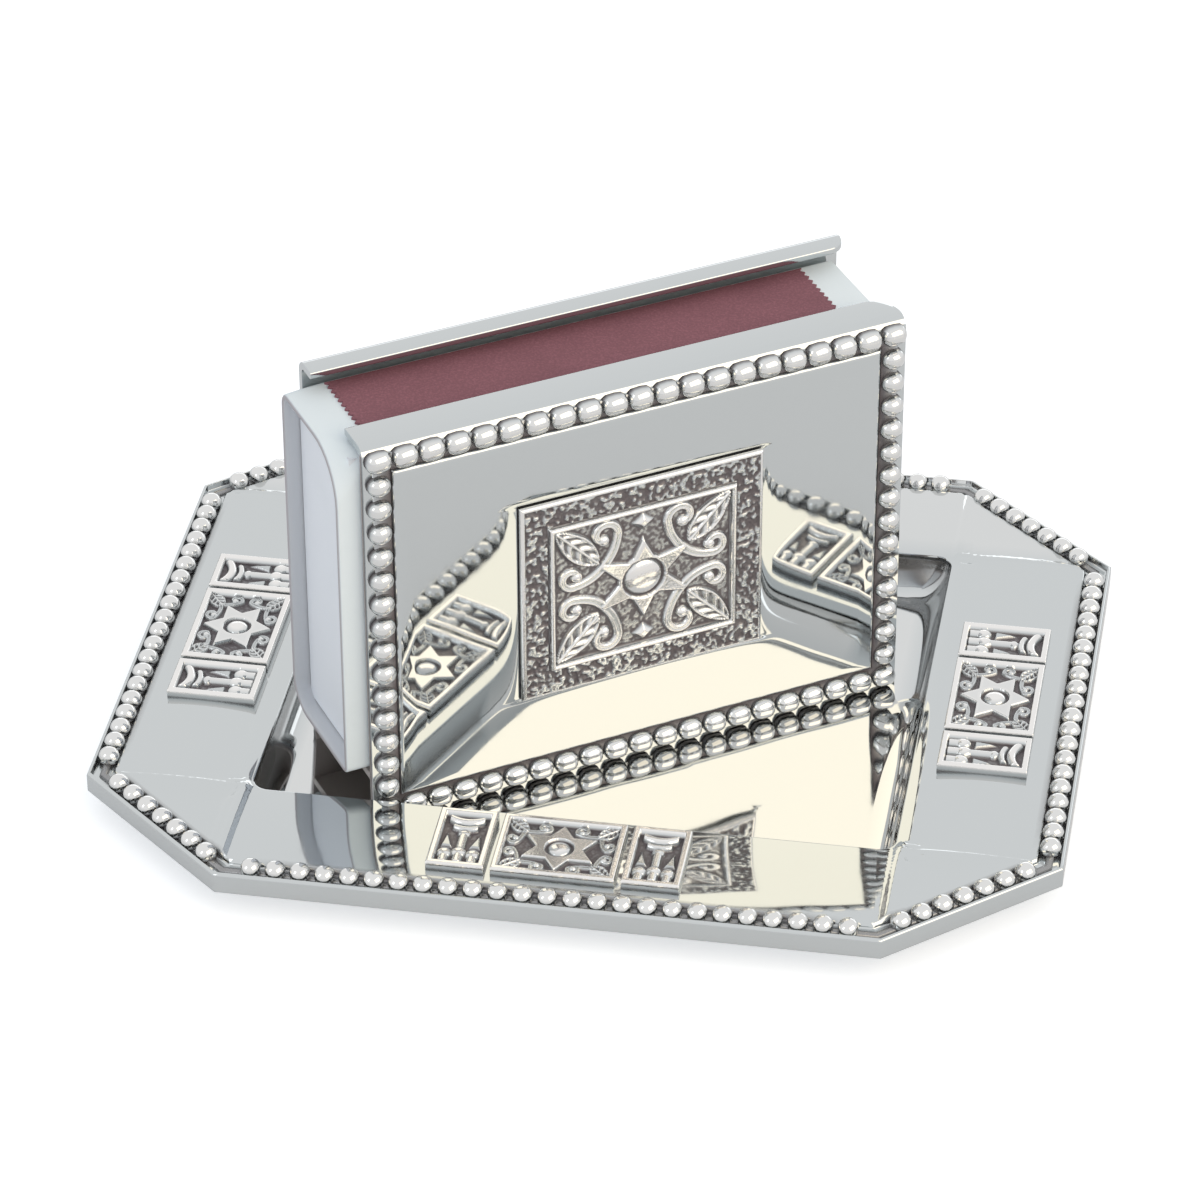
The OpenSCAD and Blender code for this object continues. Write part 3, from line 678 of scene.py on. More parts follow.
def tray_bead_rows():
    """Middle and direction of each bead along the octagon's eight sides."""
    sizes = bpy.context.scene.tray_sizes
    corners = octagon_ring(0.0, np.array([0.0]), np.array([0.0]))
    places, axes = [], []
    for k in range(8):
        a, b = corners[k], corners[(k + 1) % 8]
        run = np.linalg.norm(b - a)
        along = (b - a) / run
        count = int(np.floor((run - 2 * sizes.corner_gap) / sizes.pitch))
        for i in range(count + 1):
            places.append((a + b) / 2 + along * (i - count / 2) * sizes.pitch)
            axes.append(along)
    return places, axes


# Reliefs


def smooth(field, times):
    """Blurs a grid: each pass averages a point with its four neighbours."""
    for _ in range(times):
        padded = np.pad(field, 1, mode="edge")
        field = (field * 2 + padded[:-2, 1:-1] + padded[2:, 1:-1]
                 + padded[1:-1, :-2] + padded[1:-1, 2:]) / 6
    return field


def pebbles(shape, passes, seed):
    """Cast pebbled ground: blurred random numbers, brought to 0..1 with steep shoulders."""
    noise = smooth(np.random.default_rng(seed).standard_normal(shape), passes)
    noise = noise / noise.std()
    return 0.5 + 0.5 * np.tanh(1.6 * noise)


def line_distance(x, y, points):
    """Least distance from each grid point to a polyline, and how far along it that is."""
    best = np.full(x.shape, 1e9)
    share = np.zeros(x.shape)
    count = len(points) - 1
    for i in range(count):
        (ax, ay), (bx, by) = points[i], points[i + 1]
        dx, dy = bx - ax, by - ay
        t = np.clip(((x - ax) * dx + (y - ay) * dy) / (dx * dx + dy * dy + 1e-12), 0, 1)
        d = np.hypot(x - ax - t * dx, y - ay - t * dy)
        closer = d < best
        best = np.where(closer, d, best)
        share = np.where(closer, (i + t) / count, share)
    return best, share


def curve(a, control, b, steps=8):
    """Points of a quadratic curve from a to b."""
    t = np.linspace(0, 1, steps)[:, None]
    a, control, b = (np.array(p, float) for p in (a, control, b))
    return (1 - t) ** 2 * a + 2 * t * (1 - t) * control + t ** 2 * b


def spiral(centre, radii, degrees, steps=22):
    """Points of a spiral whose radius and angle run evenly between their two values."""
    angle = np.radians(np.linspace(*degrees, steps))
    radius = np.linspace(*radii, steps)
    return np.stack([centre[0] + radius * np.cos(angle), centre[1] + radius * np.sin(angle)], -1)


def scroll(x, y, stem, curl, wide, narrow, height):
    """Height of a scroll: a half-round wire that thins along its line and ends in a ball."""
    points = np.concatenate([stem, curl])
    d, share = line_distance(x, y, points)
    width = wide + (narrow - wide) * share
    body = height * hump(d, width) * (0.8 + 0.2 * share)
    groove = 0.28 * height * hump(d, width * 0.42)
    eye = height * 1.1 * hump(np.hypot(x - points[-1][0], y - points[-1][1]), narrow * 1.7)
    return np.maximum(body - groove, eye)


def leaf(x, y, root, tip, half, height):
    """Height of a leaf: a lens between two circles, with a raised edge, midrib and veins."""
    ax, ay = root
    length = np.hypot(tip[0] - ax, tip[1] - ay)
    ux, uy = (tip[0] - ax) / length, (tip[1] - ay) / length
    along = (x - ax) * ux + (y - ay) * uy
    across = -(x - ax) * uy + (y - ay) * ux
    u = along / length
    outline = half * np.clip(np.sin(pi * np.clip(u, 0, 1) ** 0.85), 0, 1) ** 0.8
    inside = (u > 0) & (u < 1) & (np.abs(across) < outline)
    share = np.abs(across) / np.maximum(outline, 1e-9)
    veins = 0.5 + 0.5 * np.cos((u * 4.5 + share * 1.1) * 2 * pi)
    z = height * (0.32 + 0.68 * np.clip((share - 0.66) / 0.18, 0, 1))
    z = z + 0.5 * height * veins * (share < 0.75)
    z = np.maximum(z, height * 1.05 * hump(across, half * 0.14))
    return np.where(inside, z * np.clip((1 - share) * 9, 0, 1), 0)


def polygon_depth(x, y, corners):
    """Distance inwards from the edges of a convex polygon, corners anticlockwise."""
    depth = np.full(x.shape, 1e9)
    for i in range(len(corners)):
        (ax, ay), (bx, by) = corners[i], corners[(i + 1) % len(corners)]
        run = np.hypot(bx - ax, by - ay)
        depth = np.minimum(depth, ((bx - ax) * (y - ay) - (by - ay) * (x - ax)) / run)
    return depth


def block(depth, shoulder, height):
    """A raised block: rises over its shoulder, then flat."""
    return height * np.clip(depth / shoulder, 0, 1)


def triangle(radius, first, stretch=1.0):
    """Corners of a triangle round the origin, the first at the given angle."""
    return [(stretch * radius * cos(radians(first + 120 * i)),
             radius * sin(radians(first + 120 * i))) for i in range(3)]


def box_depth(x, y, half_x, half_y):
    """Distance inwards from the edges of a rectangle round the origin."""
    return np.minimum(half_x - np.abs(x), half_y - np.abs(y))


def rounded_rim(edge, width, foot, height):
    """Height of a plaque's smooth rim: a quarter ellipse that starts at its foot."""
    return foot + height * np.sqrt(np.clip(1 - (1 - edge / width) ** 2, 0, 1))


def face_relief(x, y):
    """The face plaque's height over its foot and its stain: rim, pebbled band, ridged frame,
    ground, star, stems, scrolls, leaves and diamonds. Inside, lengths are in millimetres."""
    sizes = bpy.context.scene.holder_sizes
    x, y = x / MM, y / MM
    half_x, half_y = sizes.plaque_length / 2 / MM, sizes.plaque_height / 2 / MM
    band, rail = sizes.band / MM, sizes.frame / MM
    coarse = pebbles(x.shape, 8, 5)
    fine = pebbles(x.shape, 4, 9)
    edge = box_depth(x, y, half_x, half_y)
    inner = edge - band
    z = 0.26 + 0.20 * coarse + 0.05 * fine
    z = np.where(edge < 0.42, rounded_rim(edge, 0.42, 0.12, 0.32), z)
    frame_z = 0.22 + 0.56 * hump(inner - 0.4, 0.3)
    z = np.where((inner > 0) & (inner < rail), frame_z, z)
    x1, y1 = half_x - band - rail, half_y - band - rail
    ax, ay = np.abs(x), np.abs(y)
    centre = np.hypot(x, y)
    node = (3.9, 2.15)
    peak = polygon_depth(ax, ay, [(-1.45, 1.6), (1.45, 1.6), (0, 4.5)])
    star = block(peak, 0.2, 0.40) + 0.10 * np.clip(peak / 0.5, 0, 1) * (peak > 0)
    stem_d, share = line_distance(ax, ay, np.array([(0.6, 0.35), node]))
    stem = 0.42 * np.clip((1.5 - 1.1 * share - stem_d) / 0.2, 0, 1)
    star = np.maximum(star, stem)
    star = np.maximum(star, block(2.55 - centre, 0.2, 0.42))
    star = np.where(centre < 2.12, 0.06, star)
    star = np.maximum(star, 0.66 * hump(centre, 1.86))
    upper = np.array([3.8, 5.55])
    inside = [star]
    inside.append(scroll(ax, ay, curve(node, (2.75, 3.4), (2.5, 4.9)),
                         spiral(upper, (1.42, 0.6), (202, -80)), 0.5, 0.36, 0.5))
    inside.append(scroll(ax, ay, curve(node, (5.0, 0.85), (6.9, 0.72)),
                         spiral((7.05, 1.8), (1.1, 0.5), (262, 540)), 0.5, 0.34, 0.5))
    inside.append(leaf(ax, ay, (4.45, 2.75), (x1 + 0.05, y1 + 0.05), 1.35, 0.46))
    diamond = np.abs(ax) / 1.05 + np.abs(ay - 6.0) / 0.85
    inside.append(0.5 * np.clip(1.15 - diamond, 0, 0.75) / 0.75)
    raised = np.max(inside, axis=0)
    ground = 0.10 + 0.12 * fine
    z = np.where(inner > rail, np.maximum(ground, 0.2 + raised), z)
    stain = np.where(inner < 0, 1.6 - 0.75 * coarse, 0.0)
    stain = np.where((inner > rail) & (raised < 0.05), 0.35 - 0.6 * fine, stain)
    stain = np.where(edge < 0.36, -2.0, stain)
    return z * MM, stain


def framed(x, y, half_x, raised, roughness, seed):
    """A rim plaque's height and stain: a flat bright frame round a dark pebbled ground,
    from which the raised figures stand. half_x and the plaque's half width are in mm."""
    edge = box_depth(x, y, half_x, 4.1)
    fine = pebbles(x.shape, 4, seed)
    frame_top = 1.05 - 0.9 * np.clip(0.12 - edge, 0, 1) - 0.5 * np.clip(edge - 0.42, 0, 1)
    ground = 0.34 + roughness * fine
    z = np.where(edge < 0.55, frame_top, np.maximum(ground, 0.42 + raised))
    stain = np.where((edge > 0.55) & (raised < 0.04), 0.5 - 0.3 * fine, 0.0)
    return z * MM, np.where(edge < 0.42, -2.0, stain)


def star_relief(x, y):
    """A star plaque: a six-pointed star with its boss, small scrolls and corner leaves."""
    x, y = x / MM, y / MM
    centre = np.hypot(x, y)
    star = np.maximum(block(polygon_depth(x, y, triangle(3.4, 90, 1.14)), 0.14, 0.44),
                      block(polygon_depth(x, y, triangle(3.4, 270, 1.14)), 0.14, 0.44))
    star = np.where(centre < 1.34, 0.08, star)
    star = np.maximum(star, 0.6 * hump(centre, 1.08))
    ax, ay = np.abs(x), np.abs(y)
    meet = (3.45, 2.3)
    inside = [star,
              scroll(ax, ay, curve(meet, (2.4, 2.0), (1.2, 2.55), 5),
                     spiral((1.75, 2.82), (0.62, 0.24), (200, -120), 14), 0.27, 0.22, 0.4),
              scroll(ax, ay, curve(meet, (3.6, 0.9), (4.15, 0.42), 5),
                     spiral((4.35, 0.98), (0.58, 0.24), (250, 520), 14), 0.27, 0.22, 0.4),
              leaf(ax, ay, (3.2, 2.1), (5.0, 3.6), 0.78, 0.4)]
    return framed(x, y, 5.55, np.max(inside, axis=0), 0.06, 21)


def pillar_relief(x, y):
    """A pillar plaque: a goblet-shaped pillar with a capital of two curved plates, a leaf
    on each side and three knobs."""
    x, y = x / MM, y / MM
    ax = np.abs(x)
    bow = 0.2 * x * x

    def plate(middle, half, width, height):
        return height * hump(y - middle - bow, half) * np.clip((width - ax) * 6, 0, 1)

    raised = np.max([
        plate(2.45, 0.5, 1.7, 0.62),
        plate(1.55, 0.36, 1.25, 0.5),
        0.5 * hump(np.hypot(x, (y - 0.85) * 1.2), 0.62),
        0.46 * hump(x, 0.46) * (y < 1.0) * (y > -1.9),
        0.3 * np.clip(polygon_depth(ax, y, [(0.7, -1.1), (1.85, -1.1), (1.5, 1.2)]) / 0.18, 0, 1),
        0.58 * hump(np.hypot(ax - 1.28, (y + 2.1) * 0.9), 0.72),
        0.5 * hump(ax - 1.28, 0.5) * (y < -2.1) * (y > -3.4),
        0.62 * hump(np.hypot(x, (y + 1.9) * 0.9), 0.74),
        0.54 * hump(x, 0.5) * (y < -1.9) * (y > -3.4),
    ], axis=0)
    return framed(x, y, 2.6, raised, 0.05, 33)


def plate_mesh(length, width, step, relief):
    """A relief as a closed plate: a grid lifted by the relief, its skirt and its foot.

    Cavity is how far a point lies below the blurred surface round it, plus its depth, and
    less where it stands high and above what is round it. The skirt darkens to 0.9 at its
    foot: a painted contact shadow round the plate.
    """
    nx, ny = int(round(length / step)) + 1, int(round(width / step)) + 1
    x, y = np.meshgrid(np.linspace(-length / 2, length / 2, nx),
                       np.linspace(-width / 2, width / 2, ny))
    z, stain = relief(x, y)
    around = smooth(z, 14)
    dark = np.clip((around - z) / (0.055 * MM) * 0.5, 0, 1)
    low, high = np.percentile(z, 8), np.percentile(z, 80)
    height = (z - low) / (high - low)
    dark = dark + stain + 0.6 * np.clip(1 - height / 0.55, 0, 1)
    dark = dark - np.clip(2.2 * height - 1.0, 0, 1) * np.clip((z - around) / (0.04 * MM) + 0.8, 0, 1)
    dark = np.clip(dark, -1, 1)
    # Painted contact shadow: the foot of the skirt is set dark, to 0.9.
    dark = np.pad(dark, 1, constant_values=0.9)
    return *closed_plate(np.stack([x, y, z], -1), 2, 0.0), dark.ravel()


def turned(vertices, degrees, move):
    """Turns points about Z and then moves them."""
    a = radians(degrees)
    turn = np.array([[cos(a), sin(a), 0], [-sin(a), cos(a), 0], [0, 0, 1]])
    return vertices @ turn + np.array(move)


# Holder


def sheet_loop(height, lip):
    """Outline of a lipped sheet across its length, in Y-Z, anticlockwise.

    Upright plate, outer quarter circle, lip with a rounded edge, inner quarter circle.
    """
    sizes = bpy.context.scene.holder_sizes
    t, r = sizes.sheet, sizes.bend
    out = r + t
    edge = 0.18 * MM
    quarter = np.linspace(0, pi / 2, 9)
    bend_out = np.stack([out - out * np.cos(quarter), height - out + out * np.sin(quarter)], -1)
    bend_in = np.stack([out - r * np.cos(quarter), height - out + r * np.sin(quarter)], -1)
    small = np.linspace(0, pi / 2, 4)
    tip_top = np.stack([lip - edge + edge * np.sin(small), height - edge + edge * np.cos(small)], -1)
    tip_low = np.stack([lip - edge + edge * np.cos(small),
                        height - t + edge - edge * np.sin(small)], -1)
    near = np.array([[0.02 * MM, 0.0], [0.0, 0.02 * MM], [0.0, height - out - 0.3 * MM]])
    far = np.array([[t, height - out - 0.3 * MM], [t, 0.0]])
    return np.concatenate([near, bend_out, tip_top, tip_low, bend_in[::-1], far])


def lipped_sheet(height, lip, flip):
    """A lipped sheet: its outline carried along X. Near the right end the lip shortens by
    the sagitta of a circle, which rounds its corner."""
    sizes = bpy.context.scene.holder_sizes
    width = holder_place()["width"]
    r = min(sizes.lip_round, lip - sizes.bend - sizes.sheet)
    bend = np.linspace(0, pi / 2, 14)
    xs = np.concatenate([[-width / 2, -width / 2 + 0.3 * MM], np.linspace(-20, 20, 9) * MM,
                         width / 2 - r + r * np.sin(bend)])
    short = np.where(xs > width / 2 - r,
                     r - np.sqrt(np.clip(r * r - (xs - width / 2 + r) ** 2, 0, None)), 0)
    rows = []
    for x, cut in zip(xs, short):
        loop = sheet_loop(height, lip - cut)
        rows.append(np.column_stack([np.full(len(loop), x), loop]))
    points = np.array(rows)
    if flip:
        points[..., 1] = holder_place()["depth"] - points[..., 1]
    return surface(points, wrap=True, flip=not flip, caps=(True, True))


def field_lines(half, opening):
    """Grid lines across the field: close at its border and round the plaque's edge."""
    sizes = bpy.context.scene.holder_sizes
    edge = np.array([0, 0.05, 0.12, 0.22, 0.32, 0.42]) * MM
    strip = opening + 2.2 * sizes.dish * np.linspace(0, 1, 19) ** 1.5
    far = np.linspace(strip[-1], half - 0.42 * MM, 7)[1:]
    positive = np.concatenate([np.linspace(0, opening - 0.3 * MM, 8), strip, far,
                               (half - edge)[::-1]])
    positive = np.unique(np.round(positive, 8))
    return np.concatenate([-positive[:0:-1], positive])


def field_height(x, z):
    """Height of the mirror field over the face.

    It is flat, with a quarter-circle border. Round the plaque the sheet was drawn in a
    little: depth * exp(-2.5 * distance / width) below the flat, where the distance counts
    four times above and below the plaque.
    """
    sizes = bpy.context.scene.holder_sizes
    place = holder_place()
    half_x = place["width"] / 2 - sizes.field_inset
    half_z = place["height"] / 2 - sizes.field_inset
    border = np.clip(np.minimum(half_x - np.abs(x), half_z - np.abs(z)), 0, None)
    r = 0.42 * MM
    edge = np.where(border < r, 1 - np.sqrt(np.clip(1 - (border / r - 1) ** 2, 0, 1)), 0)
    out_x = np.clip(np.abs(x) - sizes.plaque_length / 2, 0, None)
    out_z = np.clip(np.abs(z) - sizes.plaque_height / 2, 0, None)
    away = np.hypot(out_x, 4 * out_z)
    return sizes.field_rise * (1 - edge) - sizes.dish_depth * np.exp(-2.5 * away / sizes.dish)


def mirror_field():
    """The raised field as a closed plate on the face, in the holder's frame."""
    sizes = bpy.context.scene.holder_sizes
    place = holder_place()
    half_x = place["width"] / 2 - sizes.field_inset
    half_z = place["height"] / 2 - sizes.field_inset
    xs = field_lines(half_x, sizes.plaque_length / 2)
    zs = field_lines(half_z, sizes.plaque_height / 2)
    x, z = np.meshgrid(xs, zs)
    points = np.stack([x, -field_height(x, z), z + place["height"] / 2], -1)
    vertices, faces = closed_plate(points, 1, 0.1 * MM)
    dark = np.where(vertices[:, 1] > 0, 1.0, 0.0)
    return vertices, faces, dark


def slab(low, high):
    """A closed box between two corners."""
    (ax, ay, az), (bx, by, bz) = low, high
    ring = np.array([[ax, ay], [bx, ay], [bx, by], [ax, by]])
    rows = np.array([np.column_stack([ring, np.full(4, z)]) for z in (az, bz)])
    return surface(rows, wrap=True, caps=(True, True))


def holder_parts():
    """Front and back sheets, the shelf that joins them, and the two mirror fields."""
    sizes = bpy.context.scene.holder_sizes
    place = holder_place()
    width, depth = place["width"], place["depth"]
    shelf_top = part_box("striker_bottom")[0].z - place["middle"][2]
    shelf = slab((-width / 2, sizes.sheet / 2, shelf_top - sizes.sheet),
                 (width / 2, depth - sizes.sheet / 2, shelf_top))
    parts = [lipped_sheet(place["height"], sizes.front_lip, False),
             lipped_sheet(place["height"] + sizes.back_rise, sizes.back_lip, True), shelf]
    field, faces, foot = mirror_field()
    back = np.stack([-field[:, 0], depth - field[:, 1], field[:, 2]], -1)
    plain = sum(len(v) for v, _ in parts)
    parts += [(field, faces), (back, faces)]
    vertices, faces = join(parts)
    y = vertices[:plain, 1]
    within = (y > 0.9 * sizes.sheet) & (y < depth - 0.9 * sizes.sheet)
    within &= vertices[:plain, 2] < place["height"] - 2 * sizes.bend
    # Inner faces and the shelf get 2: dull silver whose lighter tone is painted light in the shaded
    # inside.
    dark = np.concatenate([np.where(within, 2.0, 0.0), foot, foot])
    dark[plain - 8:plain] = 2.0
    return on_holder(vertices), faces, dark


def face_bead_rows():
    """Middle and direction of each bead round the face, from its middle."""
    sizes = bpy.context.scene.holder_sizes
    place = holder_place()
    half_x = place["width"] / 2 - sizes.bead_edge
    half_y = place["height"] / 2 - sizes.bead_edge
    places, axes = [], []
    for s in (-1, 1):
        for x in np.linspace(-half_x, half_x, sizes.beads_wide):
            places.append(np.array([x, s * half_y]))
            axes.append(np.array([1.0, 0.0]))
        for y in np.linspace(-half_y, half_y, sizes.beads_high)[1:-1]:
            places.append(np.array([s * half_x, y]))
            axes.append(np.array([0.0, 1.0]))
    return places, axes


def upright(vertices, back, lift=0.0):
    """Stands a relief drawn flat on the holder's front, or back: its Z points outwards."""
    place = holder_place()
    p = np.stack([vertices[:, 0], -vertices[:, 2] - lift,
                  vertices[:, 1] + place["height"] / 2], -1)
    return on_holder(p, back)


# Matchbox


def sleeve_surface(low, high, wall):
    """The sleeve: a rectangular tube along X with rounded folds, in the holder's frame.

    A section is four quarter circles joined by straights. Folds have a radius of 0.8 mm;
    towards the worn left mouth two of them open out by (1 - x / reach) squared.
    """
    quarter = np.linspace(0, pi / 2, 9)
    worn = np.array([0.6, 0.0, 2.4, 4.4]) * MM
    reach = 5.5 * MM
    soft = 0.12 * MM

    def section(x, inset):
        ay, az, by, bz = low[1] + inset, low[2] + inset, high[1] - inset, high[2] - inset
        open_out = worn * np.clip(1 - (x - low[0]) / reach, 0, 1) ** 2
        radii = np.maximum(0.8 * MM + open_out - inset, 0.12 * MM)
        signs = ((1, 1), (-1, 1), (-1, -1), (1, -1))
        order = (0, 3, 1, 2)
        points = []
        for k, (sy, sz) in enumerate(signs):
            r = radii[order[k]]
            cy = by - r if sy > 0 else ay + r
            cz = bz - r if sz > 0 else az + r
            a = quarter + k * pi / 2
            points.append(np.stack([cy + r * np.cos(a), cz + r * np.sin(a)], -1))
        return np.column_stack([np.full(4 * len(quarter), x), np.concatenate(points)])

    x0, x1 = low[0], high[0]
    inside = np.linspace(x0 + 0.5 * MM, x0 + reach, 7)
    # Each stop's last number mixes in the card's edge colour: 1 on the cut mouths, and 0.55 on the inner
    # walls, which is painted shade.
    stops = [(x0 + soft, 0.0, 0), (x0, soft, 1), (x0, wall - soft, 1), (x0 + soft, wall, 0.55)]
    stops += [(x, wall, 0.55) for x in inside] + [(x1 - soft, wall, 0.55)]
    stops += [(x1, wall - soft, 1), (x1, soft, 1), (x1 - soft, 0.0, 0)]
    stops += [(x, 0.0, 0) for x in inside[::-1]]
    stops.append(stops[0])
    rows = np.array([section(x, inset) for x, inset, _ in stops])
    cut = np.repeat([float(c) for *_, c in stops], rows.shape[1])
    return surface(rows, wrap=True), cut


def box_in_holder(node):
    """Lowest and highest corner of a node in the holder's frame, from its mesh."""
    place = holder_place()
    mesh = frame["nodes"][node].data
    p = np.empty(len(mesh.vertices) * 3)
    mesh.vertices.foreach_get("co", p)
    p = p.reshape(-1, 3) - np.array(place["middle"])
    c, s = cos(place["turn"]), sin(place["turn"])
    q = np.stack([p[:, 0] * c + p[:, 1] * s, -p[:, 0] * s + p[:, 1] * c, p[:, 2]], -1)
    return q.min(0), q.max(0)


def assign(node, material):
    """Gives a CAD node its finish in place."""
    for slot in frame["nodes"][node].material_slots:
        slot.material = material


class PieceOperator:
    """Common part of the operators."""
    bl_options = {"REGISTER"}


class MATCH_OT_tray(PieceOperator, Operator):
    """Builds the pressed tray as one closed sheet"""
    bl_idname = "match.tray"
    bl_label = "Tray"

    def execute(self, context):
        skin, dark = tray_surface()
        material = silver("tray silver", 0.045, waviness=0.10)
        add_piece("tray", skin, "tray_body", material, dark)
        return {"FINISHED"}


class MATCH_OT_tray_beads(PieceOperator, Operator):
    """Sets the beads and their wire round the tray"""
    bl_idname = "match.tray_beads"
    bl_label = "Tray beads"

    def execute(self, context):
        sizes = context.scene.tray_sizes
        places, axes = tray_bead_rows()
        (vertices, faces), dark = bead_string(places, axes, sizes.bead,
                                              0.68 * sizes.bead, (1.04, 1.1), 0.85, 3)
        channel_z = sizes.sheet + sizes.well_depth - sizes.channel_depth
        vertices[:, 2] += channel_z
        start = np.array([0.0])
        rings = [np.column_stack([octagon_ring(g * sizes.bead, start, start),
                                  np.full(8, channel_z + z * MM)])
                 for g, z in ((0.4, 0.0), (0.35, 0.22), (-0.35, 0.22), (-0.4, 0.0), (0.4, 0.0))]
        wire = surface(np.array(rings), wrap=True)
        whole = join([(vertices, faces), wire])
        dark = np.concatenate([dark, np.full(len(wire[0]), 0.55)])
        add_piece("tray_beads", whole, "tray_beading",
                  silver("bead silver", 0.09), dark)
        return {"FINISHED"}


class MATCH_OT_rim_plaques(PieceOperator, Operator):
    """Sets a star plaque and its two pillar plaques on each side of the rim"""
    bl_idname = "match.rim_plaques"
    bl_label = "Rim plaques"

    def execute(self, context):
        material = silver("plaque silver", 0.13, tarnish=0.95, grain=0.02)
        step = 0.06 * MM
        star = plate_mesh(11.1 * MM, 8.2 * MM, step, star_relief)
        pillar = plate_mesh(5.2 * MM, 8.2 * MM, step, pillar_relief)
        for side, turn in SIDES.items():
            low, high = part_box("star_plaque_" + side)
            middle = ((low.x + high.x) / 2, (low.y + high.y) / 2, low.z)
            add_piece("star_" + side, (turned(star[0], turn, middle), star[1]),
                      "star_plaque_" + side, material, star[2])
            low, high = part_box("pillar_plaques_" + side)
            span = max(high.x - low.x, high.y - low.y) - 5.2 * MM
            flip = 180 if side in ("left", "right") else 0
            pair = []
            for s in (-0.5, 0.5):
                local = turned(pillar[0], flip, (s * span, 0, 0))
                middle = ((low.x + high.x) / 2, (low.y + high.y) / 2, low.z)
                pair.append((turned(local, turn, middle), pillar[1]))
            add_piece("pillars_" + side, join(pair), "pillar_plaques_" + side,
                      material, np.tile(pillar[2], 2))
        return {"FINISHED"}


class MATCH_OT_holder(PieceOperator, Operator):
    """Builds the holder's sheet with its lips, shelf and mirror fields"""
    bl_idname = "match.holder"
    bl_label = "Holder"

    def execute(self, context):
        vertices, faces, dark = holder_parts()
        piece = add_piece("holder", (vertices, faces), "holder_shell",
                          silver("holder silver", 0.035, waviness=0.05), dark)
        bevel(piece, 0.09 * MM)
        return {"FINISHED"}


class MATCH_OT_holder_beads(PieceOperator, Operator):
    """Sets the beads round the holder's two faces"""
    bl_idname = "match.holder_beads"
    bl_label = "Holder beads"

    def execute(self, context):
        sizes = context.scene.holder_sizes
        place = holder_place()
        places, axes = face_bead_rows()
        rows, columns = [], []
        for middle, along in zip(places, axes):
            (rows if along[0] else columns).append((middle, along))
        strings = [bead_string(*zip(*rows), sizes.bead, 0.2 * MM, (1.19, 1.06), 0.62, 8),
                   bead_string(*zip(*columns), sizes.bead, 0.2 * MM, (0.98, 1.08), 0.85, 9)]
        vertices, faces = join([part for part, _ in strings])
        dark = np.concatenate([shade for _, shade in strings])
        half_x = place["width"] / 2 - sizes.bead_edge
        half_y = place["height"] / 2 - sizes.bead_edge
        rings = []
        for g, z in ((0.5, 0.0), (0.45, 0.15), (-1.12, 0.15), (-1.14, 0.0), (0.5, 0.0)):
            hx, hy = half_x + g * sizes.bead, half_y + g * sizes.bead
            rings.append([(-hx, -hy, z * MM), (hx, -hy, z * MM), (hx, hy, z * MM),
                          (-hx, hy, z * MM)])
        wire = surface(np.array(rings), wrap=True)
        whole = join([(vertices, faces), wire])
        dark = np.concatenate([dark, np.repeat([0.3, 0.3, 1.0, 1.0, 0.3], 4)])
        for name, back in (("front", False), ("back", True)):
            add_piece("holder_beads_" + name, (upright(whole[0], back), whole[1]),
                      "holder_beading_" + name,
                      silver("bead silver", 0.09), dark)
        return {"FINISHED"}


class MATCH_OT_face_plaques(PieceOperator, Operator):
    """Sets the large relief plaque in the mirror field of each face"""
    bl_idname = "match.face_plaques"
    bl_label = "Face plaques"

    def execute(self, context):
        sizes = context.scene.holder_sizes
        lift = sizes.field_rise - sizes.dish_depth + sizes.seat
        vertices, faces, dark = plate_mesh(sizes.plaque_length, sizes.plaque_height,
                                           0.08 * MM, face_relief)
        material = silver("plaque silver", 0.13, tarnish=0.95, grain=0.02)
        for name, back in (("front", False), ("back", True)):
            add_piece("face_plaque_" + name, (upright(vertices, back, lift), faces),
                      "holder_plaque_" + name, material, dark)
        return {"FINISHED"}


class MATCH_OT_matchbox(PieceOperator, Operator):
    """Folds the card sleeve and finishes its strikers, drawer and matches"""
    bl_idname = "match.matchbox"
    bl_label = "Matchbox"

    def execute(self, context):
        finish = context.scene.finish
        low, high = box_in_holder("matchbox_sleeve")
        tube, cut = sleeve_surface(low, high, 0.5 * MM)
        add_piece("sleeve", (on_holder(tube[0]), tube[1]), "matchbox_sleeve",
                  card("sleeve card", finish.card), cut)
        assign("drawer", card("drawer card", finish.card_shade))
        for node in ("striker_top", "striker_bottom"):
            assign(node, striker("striking paper"))
        assign("matchsticks", match_wood("match wood"))
        assign("match_heads", match_head("match head"))
        return {"FINISHED"}


